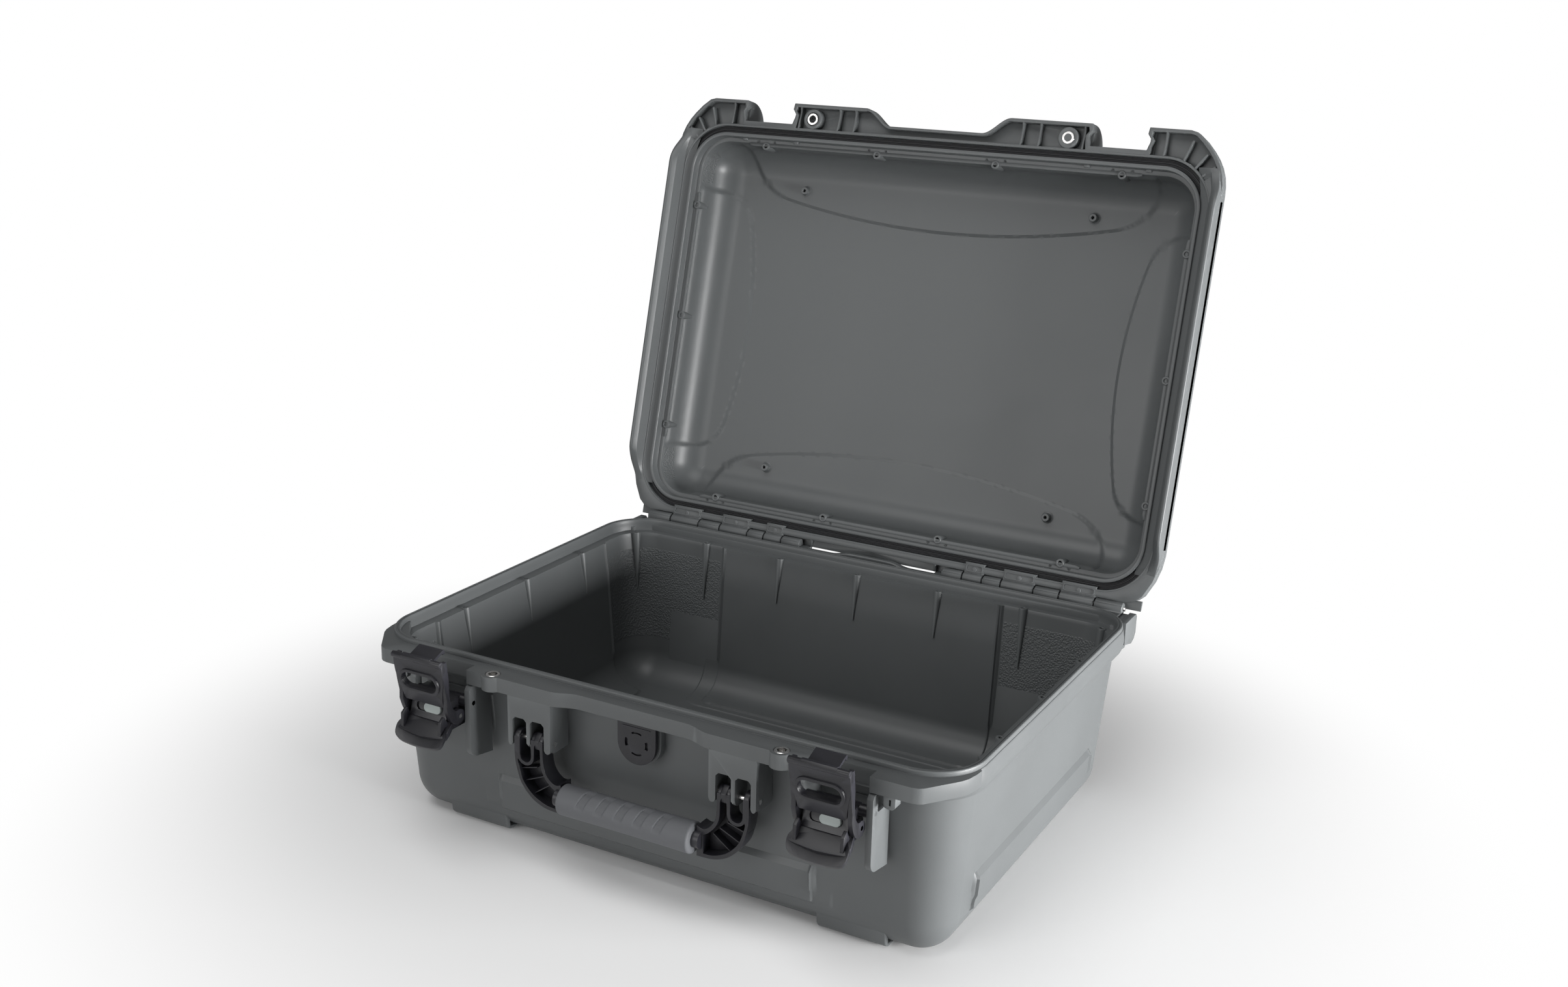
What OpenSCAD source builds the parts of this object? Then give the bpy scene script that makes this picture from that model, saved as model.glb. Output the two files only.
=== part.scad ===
// Hard tool case: a deep base and a shallow lid on a long pin hinge, two
// over-centre latches with a slide lock, a drop handle and a pressure valve.
// Millimetres. +X is to the right, +Y to the back, +Z up. The origin is under
// the middle of the base, on the plane that its feet stand on.

/* [Case body] */
// Width of the mouth, left to right
mouth_w = 510; // [480:1:560]
// Depth of the mouth, front to back
mouth_d = 362; // [340:1:400]
// Height of the parting plane above the floor that the feet stand on
parting_h = 157; // [140:1:180]
// Height of the inside of the lid above the parting plane
lid_inside_h = 51; // [46:1:64]
// Thickness of the floor of the base and of the top of the lid
skin = 4; // [3:0.25:6]
// Thickness of the side walls of the base
wall = 4; // [3.5:0.25:5]
// Radius of the upright corners at the mouth
corner_r = 34; // [33:1:40]
// Radius of the rounded edge round the inside floors
floor_r = 28; // [20:1:28]
// How far the walls of the base lean in between the ledge and the floor
draft_in = 9; // [6:0.5:11]

/* [Rim and seal] */
// Width of the ledge just inside the mouth
ledge_w = 4; // [3:0.25:5]
// Depth of the ledge below the parting plane in the base
ledge_drop = 7; // [5:0.5:9]
// Height of the ledge above the parting plane in the lid
lid_ledge_h = 10.4; // [10:0.2:12]
// Distance from the mouth to the inside of the sealing tongue
tongue_in = 4.5; // [4:0.25:5]
// Thickness of the sealing tongue
tongue_t = 4.5; // [4:0.25:5]
// Height of the sealing tongue above the parting plane
tongue_h = 4; // [3:0.25:4.5]
// Side gap between the tongue and the groove in the lid
tongue_gap = 1; // [0.6:0.1:1.2]
// Height of the groove in the lid
groove_h = 7.7; // [7.6:0.1:8.8]
// Thickness of the rubber seal in the groove
seal_t = 3; // [2:0.25:3]
// Height of the band round the top of the base
band_h = 27; // [22:1:32]
// How far the band stands out from the mouth
band_out = 11; // [10:0.5:12]
// Thickness of the front flange of the base
flange_t = 12; // [10:0.5:14]
// Thickness of the rim plate of the lid
rim_t = 13; // [12:0.5:15]
// Gap between the lid's rim plate and the base's flange when closed
rim_gap = 0.4; // [0.3:0.1:0.8]

/* [Front flange] */
// Distance from the mouth to the front face of the flange and its brackets
front_out = 27; // [25:0.5:29]
// How much shallower the flange is over the valve
recess_drop = 6.5; // [4:0.5:8]
// How much shallower the flange is in the latch bays
bay_drop = 11; // [9:0.5:12]
// Distance of each latch from the end of the mouth
latch_end = 78; // [73:1:83]
// Clear width of each latch bay
bay_w = 50; // [50:0.5:52]
// Thickness of the guard fins beside each latch
fin_t = 5; // [4:0.5:6]
// Height of the guard fins below the parting plane
fin_drop = 71; // [66:1:76]
// How much further out the front of the lid reaches than that of the base
lid_proud = 9; // [7:0.5:10]

/* [Hinge] */
// Distance of the hinge axis behind the mouth
hinge_out = 22.7; // [22:0.1:24]
// Height of the hinge axis above the parting plane
hinge_up = 1.4; // [1:0.1:2]
// Radius of the hinge pins
hinge_pin_r = 2; // [1.5:0.1:2.4]
// Outer radius of the hinge knuckles
knuckle_r = 5.4; // [5:0.1:5.6]
// Opening angle at which the lid rests
open_angle = 104.5; // [95:0.5:110]

/* [Latches] */
// Radius of the pins that the latch levers turn on
lever_pin_r = 2; // [1.6:0.1:2.3]
// Radius of the pins that join each claw to its lever
claw_pin_r = 1.8; // [1.4:0.1:2]
// Width of the claw at its top
claw_w = 48; // [46:0.5:48.5]
// Thickness of the face of the claw
claw_t = 4.5; // [4:0.25:4.5]
// Lean of the open claw from its closed position
claw_lean = 21; // [18:0.5:22]
// Width of the pull tab at its lower edge
tab_w = 47; // [44:0.5:48]
// Thickness of the pull tab
tab_t = 4.5; // [3.5:0.25:5]
// Length of the slide lock button
lock_w = 17; // [14:0.5:18]
// Height of the slide lock button
lock_h = 7.5; // [6:0.25:8]
// Travel of the slide lock button
lock_travel = 8; // [6:0.5:8.5]

/* [Handle] */
// Distance of the outer side of each handle bracket from the middle
bracket_x = 112; // [108:1:116]
// Width of each handle bracket
bracket_w = 40.5; // [40:0.5:44]
// Height of the handle brackets below the parting plane
bracket_drop = 54; // [50:1:58]
// Height of the handle axis below the parting plane
handle_drop = 47; // [45:0.5:48]
// Radius of the handle pins
handle_pin_r = 2; // [1.6:0.1:2.4]
// Distance from the handle axis down to the middle of the grip
handle_reach = 41; // [38:0.5:46]
// Radius of the soft grip
grip_r = 12.5; // [11.5:0.25:13]
// Length of the soft grip
grip_l = 120; // [110:1:124]

/* [Small fittings] */
// Distance of the padlock eyelets from the middle of the case
eyelet_x = 129.5; // [127:0.5:131]
// Outer radius of the padlock eyelets
eyelet_r = 6.2; // [5.6:0.1:6.4]
// Radius of the hole through the padlock eyelets
eyelet_hole_r = 3.6; // [3:0.1:4]
// Width of the cover of the pressure valve
valve_w = 36; // [32:0.5:38]
// Radius of the stem of the pressure valve
valve_stem_r = 7; // [6:0.25:8]
// Radius of the screw bosses inside
boss_r = 4; // [3.6:0.1:4.4]
// Radius of the pilot holes in the screw bosses
pilot_r = 1.4; // [1.2:0.1:1.6]
// Depth of the pilot holes in the screw bosses
pilot_depth = 12; // [10:0.5:14]
// Height of the four pegs in the lid
peg_h = 6; // [4:0.5:8]
// Radial running clearance of every pin
pin_gap = 0.05; // [0.03:0.01:0.08]

/* [Hidden] */

graphite = [0.27, 0.28, 0.285];
black = [0.05, 0.05, 0.055];
soft_grey = [0.30, 0.31, 0.33];
light_grey = [0.55, 0.57, 0.57];
steel = [0.75, 0.75, 0.76];

zp = parting_h;
hx = mouth_w / 2;
hy = mouth_d / 2;
fine = 48;
coarse = 36;
over = 0.5;

// Outer form of the base: where its walls start and end
base_top_out = 4.5;
column_step = 4;
foot_clear = 0;
floor_z = foot_clear + skin;
base_in = ledge_w + draft_in;
base_out = base_in - wall - column_step + 0.5;
base_ball_r = floor_r + 2;
// Height where the walls are drawn apart from the tray with the floor
tray_z = floor_z + floor_r + 2;
tray_gap = 0.02;
// Distance from the mouth to the inner wall of the base above its ledge
rim_in = tongue_in - 0.5;

// Lid form, in the closed pose, heights from the parting plane
lid_in = ledge_w + 1.5;
lid_top_h = lid_inside_h + skin;
lid_skin_out = 3.5;
lid_skirt_drop = 16;
lid_skirt_out = 20;
hook_seat_h = 10;

// Front
front_y = -hy - front_out;
bay_y = front_y + bay_drop;
recess_y = front_y + recess_drop;
lid_front_y = front_y - lid_proud;
panel_y = -hy - base_top_out;
latch_x = hx - latch_end;
bay_in = latch_x - bay_w / 2;
bay_out = latch_x + bay_w / 2;
ramp_in = 48;
ramp_out = 72;
foot_in = bay_in - 7;
foot_out = bay_out + 1;
fin_y = front_y - 3;
fin_top = 13;

// Lug round each padlock eyelet: half its width, its back edge and its joint
lug_half = eyelet_r + 5.3;
lug_back = front_y + 5 + eyelet_r + 3.6;
lug_gap = 0.05;

// Pressure valve: its height, the face of its seat and the flat inside
valve_z = zp - 31;
valve_seat_y = panel_y - 2;
valve_in_y = -hy + 4.5;

// Hinge
hinge_y = hy + hinge_out;
hinge_z = zp + hinge_up;
// Ends of the knuckles, measured in from the end of the mouth
knuckles = [for (k = [180, 160, 140, 122, 90, 66, 33, 7]) hx - k];
knuckle_gap = 0.5;
back_y = hy + hinge_out - knuckle_r - 0.8;
ring_x = knuckles[0] - 9;

// Latch lever pivot and claw pivot, both on X axes
lever_y = front_y + 2;
lever_z = zp - 28;
claw_arm = 9;
hub_r = 4.5;
claw_boss_r = 5;
core_w = 36;
// Claw, heights above its pivot: its front, its rake, its lower edge and top
claw_face = 10.4;
claw_rake = 9.3;
claw_low = 6;
claw_top = 54.9;
claw_neck = 44;
claw_shoulder = 34;
cheek_t = 4;
hook_t = 4;
hook_l = 16.6;
window_w = 30;
window_h = 11;
window_up = 31;
opening_w = core_w + 1;
opening_up = 16;

// Handle
handle_y = front_y + 7;
handle_z = zp - handle_drop;
slot_w = 13.3;
web_w = 3.4;
outer_cheek = 4.5;
slot_top = 29;
ear_w = 10.5;
ear_r = 7;
core_r = 7;
arm_back = 8;

function arc(cx, cy, r, a0, a1, n) = [for (i = [0:n]) let (a = a0 + (a1 - a0) * i / n)
    [cx + r * cos(a), cy + r * sin(a)]];
function ease(x0, y0, x1, y1, n) = [for (i = [0:n]) let (t = i / n)
    [x0 + (x1 - x0) * t, y0 + (y1 - y0) * (1 - cos(180 * t)) / 2]];
function mirror_x(pts) = [for (i = [len(pts) - 1:-1:0]) [-pts[i][0], pts[i][1]]];

// Rounded rectangle, made of squares and circles so that it stays exact
module round_rect(sx, sy, r) {
    square([2 * (sx - r), 2 * sy], center = true);
    square([2 * sx, 2 * (sy - r)], center = true);
    for (i = [-1, 1], j = [-1, 1]) {
        translate([i * (sx - r), j * (sy - r)]) circle(r = r, $fn = fine);
    }
}

// Ring that follows the mouth, from one distance outside it to another
module mouth_ring(in, out, z0, h) {
    translate([0, 0, z0]) linear_extrude(h) difference() {
        round_rect(hx + out, hy + out, corner_r + out);
        round_rect(hx + in, hy + in, corner_r + in);
    }
}

// Quarter ball standing on its flat, used under the corners of a tub
module ball_foot(r) {
    rotate_extrude($fn = coarse) polygon(concat([[0, r], [0, 0]], arc(0.5, r, r - 0.5, -90, 0, 9)));
}

// Tub with leaning walls and a rounded floor edge, open side up
module tub(out_top, out_low, r_top, r_low, z_top, z_low) {
    tx = hx + out_top - r_top;
    ty = hy + out_top - r_top;
    lx = hx - out_low - r_low;
    ly = hy - out_low - r_low;
    hull() {
        for (i = [-1, 1], j = [-1, 1]) {
            translate([i * tx, j * ty, z_top - over]) cylinder(r = r_top, h = over, $fn = coarse);
            translate([i * lx, j * ly, z_low]) ball_foot(r_low);
        }
    }
}

module at_hinge() {
    translate([0, hinge_y, hinge_z]) rotate([-open_angle, 0, 0]) translate([0, -hinge_y, -hinge_z])
        translate([0, 0, zp]) children();
}

module x_rod(x0, x1, y, z, r) {
    translate([x0, y, z]) rotate([0, 90, 0]) cylinder(r = r, h = x1 - x0, $fn = fine);
}

// Outline in Y and Z, extruded along X
module x_prism(x0, x1, pts) {
    translate([x0, 0, 0]) rotate([90, 0, 90]) linear_extrude(x1 - x0) polygon(pts);
}

// Outline in X and Z, extruded towards the front from y
module y_prism(y, depth, pts) {
    translate([0, y, 0]) rotate([90, 0, 0]) linear_extrude(depth) polygon(pts);
}

// Plan of the front flange of the base
flange_half = concat([[0, recess_y]],
    ease(ramp_in, recess_y, ramp_out, front_y, 8),
    [[bay_in, front_y], [bay_in, bay_y], [bay_out, bay_y], [bay_out, front_y]],
    arc(hx - 29, front_y + 34, 34, -90, -14, 8),
    [[hx + band_out - 2.5, -hy + 22], [hx - 12, -hy + 30], [hx - 60, -hy + 4], [0, -hy + 4]]);

module front_flange() {
    translate([0, 0, zp - flange_t]) linear_extrude(flange_t)
        polygon(concat(flange_half, mirror_x(flange_half)));
}

// Guard fin beside a latch
module guard_fin(x) {
    x_prism(x, x + fin_t, [[panel_y + 2, zp - fin_top - 1], [front_y + 4, zp - fin_top + 1],
        [fin_y, zp - fin_top - 3], [fin_y, zp - fin_drop + 4], [fin_y + 3, zp - fin_drop],
        [fin_y + 12, zp - fin_drop - 3], [panel_y + 2, zp - fin_drop - 10]]);
}

module base_hardware_half() {
    guard_fin(bay_in - fin_t);
    guard_fin(bay_out);
    // Small holed lug under the corner of the flange
    translate([bay_out + fin_t + 6, front_y + 1, zp - flange_t - 10]) cube([9, 9, 10.5]);
    // Handle bracket
    bracket_in = bracket_x - bracket_w;
    x_prism(bracket_in, bracket_x, concat([[panel_y + 3, zp - 1], [front_y, zp - 1]],
        arc(front_y + 6, zp - bracket_drop + 6, 6, 180, 270, 6), [[panel_y + 3, zp - bracket_drop]]));
    // Raised panel and foot below the latch
    x_prism(foot_in, foot_out, concat([[-hy + 20, foot_clear + 18], [-hy + 30, 0], [-hy + 23, 0]],
        arc(-hy + 19, 8, 8, 270, 200, 4), [[panel_y + 1, zp - band_h], [-hy + 6, zp - band_h]]));
}

module back_hardware_half() {
    for (i = [0:2:6]) {
        x0 = knuckles[i] + (i == 0 ? 0 : knuckle_gap);
        x1 = knuckles[i + 1] - (i == 6 ? 0 : knuckle_gap);
        x_rod(x0, x1, hinge_y, hinge_z, knuckle_r);
        x_prism(x0, x1, [[hy + 4, zp - 12], [hinge_y - 3, zp - 4], [hinge_y + 1, hinge_z - 4.5],
            [hinge_y, hinge_z], [back_y, zp], [hy + 4, zp]]);
    }
    // Half-round end rib beside the open slot at the middle
    x_prism(ring_x, knuckles[0] + 1, arc(hinge_y - 3, zp, 9.5, 180, 360, 12));
    // Stop rib at the end of the hinge
    x_prism(knuckles[7] - 1, knuckles[7] + 5, [[hy - 10, zp - 30], [hinge_y - 3, zp - 33], [hinge_y + 3, zp - 28],
        [hinge_y + 4, zp - 6], [hinge_y + 1, zp - 3], [hy - 10, zp - 3]]);
    // Foot at the back
    x_prism(foot_in, foot_out, concat([[hy - 30, 0], [hy - 30, foot_clear + 18], [hy - 6, zp - band_h],
        [hy + base_top_out - 1, zp - band_h]], arc(hy - 19, 8, 8, -20, -90, 4)));
}

module both_sides() {
    children();
    mirror([1, 0, 0]) children();
}

// Screw bosses below the ledge; there is none over the pressure valve
boss_in = ledge_w + 0.2;
boss_corner = corner_r - boss_in - 1;
boss_spots = concat(
    [for (i = [-1, 1], j = [-1:1]) [i * (hx - boss_in), j * (hy - 94)]],
    [for (i = [-2:2], j = [-1, 1]) if (i != 0 || j > 0) [i * (hx - 89.8) / 2, j * (hy - boss_in)]],
    [for (i = [-1, 1], j = [-1, 1]) [i * (hx - corner_r + boss_corner * cos(45)),
        j * (hy - corner_r + boss_corner * sin(45))]]);

module base_bosses() {
    for (p = boss_spots) translate([p[0], p[1], zp - ledge_drop - 52])
        cylinder(r1 = 1.6, r2 = boss_r, h = 52, $fn = coarse);
}

module base_pilots() {
    for (p = boss_spots) translate([p[0], p[1], zp - ledge_drop - pilot_depth])
        cylinder(r = pilot_r, h = pilot_depth + 1, $fn = 24);
}

// Tub of the base with the flat recesses in its four walls
module base_tub() {
    lean = atan((base_top_out + base_out) / (zp - band_h));
    difference() {
        tub(base_top_out, base_out, corner_r + base_top_out, base_ball_r, zp - 2, foot_clear);
        for (i = [-1, 1]) {
            translate([i * (hx + base_top_out - column_step), 0, zp - band_h]) rotate([0, i * lean, 0])
                translate([i > 0 ? 0 : -20, -125, -200]) cube([20, 250, 200]);
        }
        for (j = [-1, 1]) {
            translate([0, j * (hy + base_top_out - 3.5), zp - band_h]) rotate([-j * lean, 0, 0])
                translate([-foot_in, j > 0 ? 0 : -20, -200]) cube([2 * foot_in, 20, 200]);
        }
    }
}

// Band round the top, widest a little below the parting plane. It stops short
// of the fittings on the front wall.
module base_band() difference() {
    hull() {
        for (s = [[zp - band_h, band_out - 2], [zp - 14, band_out], [zp - over, tongue_in + tongue_t + 0.5]]) {
            for (i = [-1, 1], j = [-1, 1]) {
                translate([i * (hx - corner_r), j * (hy - corner_r), s[0]])
                    cylinder(r = corner_r + s[1], h = over, $fn = coarse);
            }
        }
    }
    translate([-bay_out - 8, panel_y - 30, zp - band_h - 1]) cube([2 * bay_out + 16, 30, band_h + 1 - flange_t]);
}

module base_hollow() {
    difference() {
        union() {
            base_tub();
            base_band();
            mouth_ring(tongue_in, tongue_in + tongue_t, zp - 4, tongue_h + 4);
            front_flange();
            both_sides() base_hardware_half();
            both_sides() back_hardware_half();
            // Back flange, and the bar behind the slot at its middle
            translate([-knuckles[7], hy, zp - flange_t]) cube([2 * knuckles[7], back_y - hy, flange_t]);
            translate([-ring_x - 1, hinge_y - 4.2, zp - 8]) cube([2 * ring_x + 2, 5, 11]);
            // Seat of the pressure valve
            valve_outline(panel_y - 2, 5, valve_w / 2 + 3);
        }
        tub(-ledge_w, base_in, corner_r - ledge_w, floor_r, zp - ledge_drop, floor_z);
        translate([0, 0, zp - ledge_drop]) linear_extrude(20)
            round_rect(hx + rim_in, hy + rim_in, corner_r + rim_in);
        slot_cuts();
    }
}

module base_moulding() difference() {
    union() {
        base_hollow();
        base_bosses();
    }
    base_pilots();
}

module below(z) translate([-hx - 40, -hy - 60, -1]) cube([2 * hx + 80, 2 * hy + 120, z + 1]);

// Walls, rim and fittings of the base, down to the plane where the tray begins
module base_shell() color(graphite) difference() {
    base_moulding();
    below(tray_z);
}

// Floor of the base with the rounded foot of its walls, one moulding with the walls above
module base_tray() color(graphite) intersection() {
    base_moulding();
    below(tray_z - tray_gap);
}

// Part of the front flange that holds a padlock eyelet, drawn by itself
module padlock_lug(side) color(graphite) translate([side * eyelet_x, 0, 0]) difference() {
    union() {
        translate([lug_gap - lug_half, front_y, zp - flange_t])
            cube([2 * (lug_half - lug_gap), lug_back - lug_gap - front_y, flange_t]);
        translate([0, front_y + 5, zp - flange_t - 2]) cylinder(r = eyelet_r + 3, h = flange_t + 2, $fn = fine);
    }
    translate([0, front_y + 5, zp - flange_t - 3]) cylinder(r = eyelet_r, h = flange_t + 4, $fn = fine);
}
module padlock_lug_left() padlock_lug(-1);
module padlock_lug_right() padlock_lug(1);

module slot_cuts() {
    both_sides() {
        bracket_in = bracket_x - bracket_w;
        slot1 = bracket_x - outer_cheek - slot_w;
        for (x = [slot1, slot1 - web_w - slot_w]) {
            translate([x, front_y - 1, zp - bracket_drop - 1])
                cube([slot_w, panel_y - 3 - front_y, bracket_drop + 1 - slot_top]);
        }
        x_rod(bracket_in - 1, bracket_x + 1, handle_y, handle_z, handle_pin_r + pin_gap);
        x_rod(bay_in - fin_t - 1, bay_out + fin_t + 1, lever_y, lever_z, lever_pin_r + pin_gap);
        // Place of the padlock lug
        translate([eyelet_x - lug_half, front_y - lug_half, zp - flange_t - 3])
            cube([2 * lug_half, lug_back - front_y + lug_half, flange_t + 4]);
        // Window in the outer guard fin and slit in the small lug
        translate([bay_out - 1, front_y + 5, zp - fin_top - 16]) cube([fin_t + 2, 12, 13]);
        translate([bay_out + fin_t + 10, front_y, zp - flange_t - 7]) cube([1.2, 12, 5]);
        x_rod(knuckles[0] + 2, knuckles[7] + 6, hinge_y, hinge_z, hinge_pin_r + pin_gap);
    }
    // Open slot at the middle of the back flange
    translate([-ring_x, hinge_y - 12.7, zp - flange_t - 1]) cube([2 * ring_x, 8.5, flange_t + 2]);
    // Bore of the pressure valve and the flat round its nut inside
    y_bore(0, valve_z, valve_stem_r + pin_gap, -hy - 12, 20);
    y_bore(0, valve_z, valve_stem_r + 5, valve_in_y, 8);
}

module y_bore(x, z, r, y, len) {
    translate([x, y, z]) rotate([-90, 0, 0]) cylinder(r = r, h = len, $fn = fine);
}

// D-shaped plate standing on a wall that faces the front
module valve_outline(y, depth, half) {
    y_prism(y + depth, depth, concat([[half, zp - 14], [-half, zp - 14]],
        arc(0, valve_z, half, 180, 360, 16)));
}

module lid_outline() {
    top = lid_front_y;
    half = concat([[0, recess_y]],
        ease(46, recess_y, 74, top, 8),
        [[bay_in - 1, top], [bay_in - 1, bay_y], [bay_out + 1, bay_y], [bay_out + 1, top]],
        [[hx - 15, top], [hx - 1, top + 8], [hx + 11, top + 22], [hx + lid_skirt_out, -hy + 18]],
        [[hx + lid_skirt_out, hy - 29], [hx + lid_skirt_out - 2, hy - 14], [hx + 8, hy + 11], [knuckles[7], back_y],
         [0, back_y]]);
    polygon(concat(half, mirror_x(half)));
}

module lid_pocket(x, w) {
    translate([x, lid_front_y + 3, rim_gap - 1]) cube([w, front_out + lid_proud - tongue_in - tongue_t - 7, 9.6]);
}

module lid_knuckles() {
    for (i = [1:2:5]) {
        x0 = knuckles[i] + knuckle_gap;
        x1 = knuckles[i + 1] - knuckle_gap;
        x_rod(x0, x1, hinge_y, hinge_up, knuckle_r);
        x_prism(x0, x1, [[back_y - 2, rim_gap], [hinge_y, hinge_up - 2], [hinge_y + 1, hinge_up + 5],
            [back_y - 2, hinge_up + 7]]);
    }
}

lid_boss_spots = concat(
    [for (i = [-1, 1], j = [-1:1]) [i * (hx - 2.8), j * (hy - 69.6)]],
    [for (i = [-1, 1], j = [-1, 1], k = [1, 3]) [i * k * (hx - 73.5) / 3, j * (hy - 4.6)]]);
peg_spots = [for (i = [-1, 1], j = [-1, 1]) [i * (hx - 105.2), j * (hy - 41.9)]];

module lid_bosses() {
    for (p = lid_boss_spots) translate([p[0], p[1], lid_ledge_h]) cylinder(r1 = boss_r, r2 = 0.8, h = 16, $fn = coarse);
    for (p = peg_spots) translate([p[0], p[1], lid_inside_h - peg_h]) cylinder(r = boss_r, h = peg_h + 1, $fn = coarse);
}

module lid_pilots() {
    for (p = lid_boss_spots) translate([p[0], p[1], lid_ledge_h - 1]) cylinder(r = pilot_r, h = pilot_depth - 4, $fn = 24);
    for (p = peg_spots) translate([p[0], p[1], lid_inside_h - peg_h - 1]) cylinder(r = pilot_r, h = peg_h, $fn = 24);
}

module lid_hollow() {
    difference() {
        union() {
            translate([0, 0, lid_top_h]) mirror([0, 0, 1])
                tub(lid_skin_out, lid_in - skin, corner_r + lid_skin_out, floor_r + 2, lid_top_h - 1, 0);
            translate([0, 0, rim_gap]) linear_extrude(rim_t - rim_gap) lid_outline();
            both_sides() {
                // Skirt along the side, with an inclined inner face
                side_x = hx + lid_skirt_out;
                translate([0, hy - 29, 0]) rotate([90, 0, 0]) linear_extrude(2 * hy - 47)
                    polygon([[hx + tongue_in + tongue_t + 1, rim_gap], [side_x - 7.5, -12], [side_x - 3.5, -lid_skirt_drop],
                        [side_x, -lid_skirt_drop], [side_x, 8], [side_x - 8, rim_t + 4], [hx, rim_t + 4]]);
                lid_knuckles();
                // Guard fins on the front of the lid beside each latch
                for (x = [bay_in - 1 - fin_t, bay_out + 1]) {
                    x_prism(x, x + fin_t, concat([[-hy + 4, rim_t - 1]], [[lid_front_y, rim_t - 1]],
                        arc(lid_front_y + 26, rim_t, 26, 180, 100, 8), [[-hy + 4, 40]]));
                }
            }
        }
        translate([0, 0, lid_inside_h]) mirror([0, 0, 1])
            tub(-ledge_w, lid_in, corner_r - ledge_w, floor_r, lid_inside_h - lid_ledge_h, 0);
        translate([0, 0, -1]) linear_extrude(lid_ledge_h + 1.2) round_rect(hx, hy, corner_r);
        mouth_ring(tongue_in - tongue_gap, tongue_in + tongue_t + tongue_gap, -1, groove_h + 1);
        both_sides() {
            // Hollows in the front blocks, with ribs left between them
            lid_pocket(78, 20);
            lid_pocket(100, 18);
            lid_pocket(139, 8);
            lid_pocket(bay_out + 5, 9);
            lid_pocket(bay_out + 16, 9);
            translate([eyelet_x, front_y + 5, -1]) cylinder(r = eyelet_r, h = rim_t + 20, $fn = fine);
            // Seat that the hook of the latch pulls down on
            translate([bay_in - 1.1, bay_y - 3, hook_seat_h]) cube([bay_w + 2.2, 9.7, 20]);
            x_rod(knuckles[0], knuckles[7] + 6, hinge_y, hinge_up, hinge_pin_r + pin_gap);
        }
    }
}

module lid_body() difference() {
    union() {
        lid_hollow();
        lid_bosses();
    }
    lid_pilots();
}

module lid_shell() color(graphite) at_hinge() lid_body();

module lid_seal() color(black) at_hinge()
    mouth_ring(tongue_in - tongue_gap + 0.1, tongue_in + tongue_t + tongue_gap - 0.1, groove_h - seal_t, seal_t);

module hinge_pin(side) color(steel) {
    mirror([side < 0 ? 1 : 0, 0, 0]) x_rod(knuckles[0] + 2.5, knuckles[7] + 2, hinge_y, hinge_z, hinge_pin_r);
}
module hinge_pin_left() hinge_pin(-1);
module hinge_pin_right() hinge_pin(1);

// Latch pieces are drawn about the middle of their bay
module at_lever(side) translate([side * latch_x, lever_y, lever_z]) children();
module at_claw(side) translate([side * latch_x, lever_y - claw_arm, lever_z - claw_arm]) children();

core_outline = [[4, 1], [3, 4.2], [-2, 4.4], [-13, 3], [-16.5, 1.5], [-19, -9], [-21, -12.5], [-15, -21], [3, -21],
    [5, -10]];

module tab_outline() {
    // Width across X, length down the tab
    half = concat([[0, 0], [22, 0]], [[tab_w / 2, 8]], arc(tab_w / 2 - 4, 12, 4, 0, 60, 4), [[10, 16.6], [0, 17.2]]);
    polygon(concat(half, mirror_x(half)));
}

module latch_lever(side) color(black) at_lever(side) {
    difference() {
        union() {
            x_prism(-core_w / 2, core_w / 2, core_outline);
            x_rod(-bay_w / 2 + 0.4, bay_w / 2 - 0.4, 0, 0, hub_r);
            translate([0, -18, -12.5]) rotate([-145.3, 0, 0]) linear_extrude(tab_t) tab_outline();
        }
        x_rod(-bay_w, bay_w, 0, 0, lever_pin_r + pin_gap);
        x_rod(-bay_w, bay_w, -claw_arm, -claw_arm, claw_pin_r + pin_gap);
        // Slot for the slide lock
        lock_place() lock_solid(lock_w + lock_travel + 0.6, lock_h + 0.6, 6);
    }
}

module lock_place() translate([0, -18, -4]) rotate([90 - 14, 0, 0]) translate([0, 0, -2]) children();

module lock_solid(w, h, t) {
    linear_extrude(t) {
        square([w - h, h], center = true);
        for (i = [-1, 1]) translate([i * (w - h) / 2, 0]) circle(d = h, $fn = coarse);
    }
}

module latch_lock(side) color(light_grey) at_lever(side)
    lock_place() translate([lock_travel / 2, 0, 0.3]) lock_solid(lock_w, lock_h, 3.4);

module claw_outline() {
    // Face of the claw: width across X, height above its pivot
    half = concat([[opening_w / 2, claw_low], [claw_neck / 2, claw_low]],
        ease(claw_neck / 2, claw_low + 3, claw_w / 2, claw_shoulder, 6),
        [[claw_w / 2, claw_top - 1.9], [0, claw_top - 1.9]]);
    difference() {
        polygon(concat(half, mirror_x(half)));
        translate([0, window_up]) {
            square([window_w - window_h, window_h], center = true);
            for (i = [-1, 1]) translate([i * (window_w - window_h) / 2, 0]) circle(d = window_h, $fn = coarse);
        }
    }
}

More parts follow.
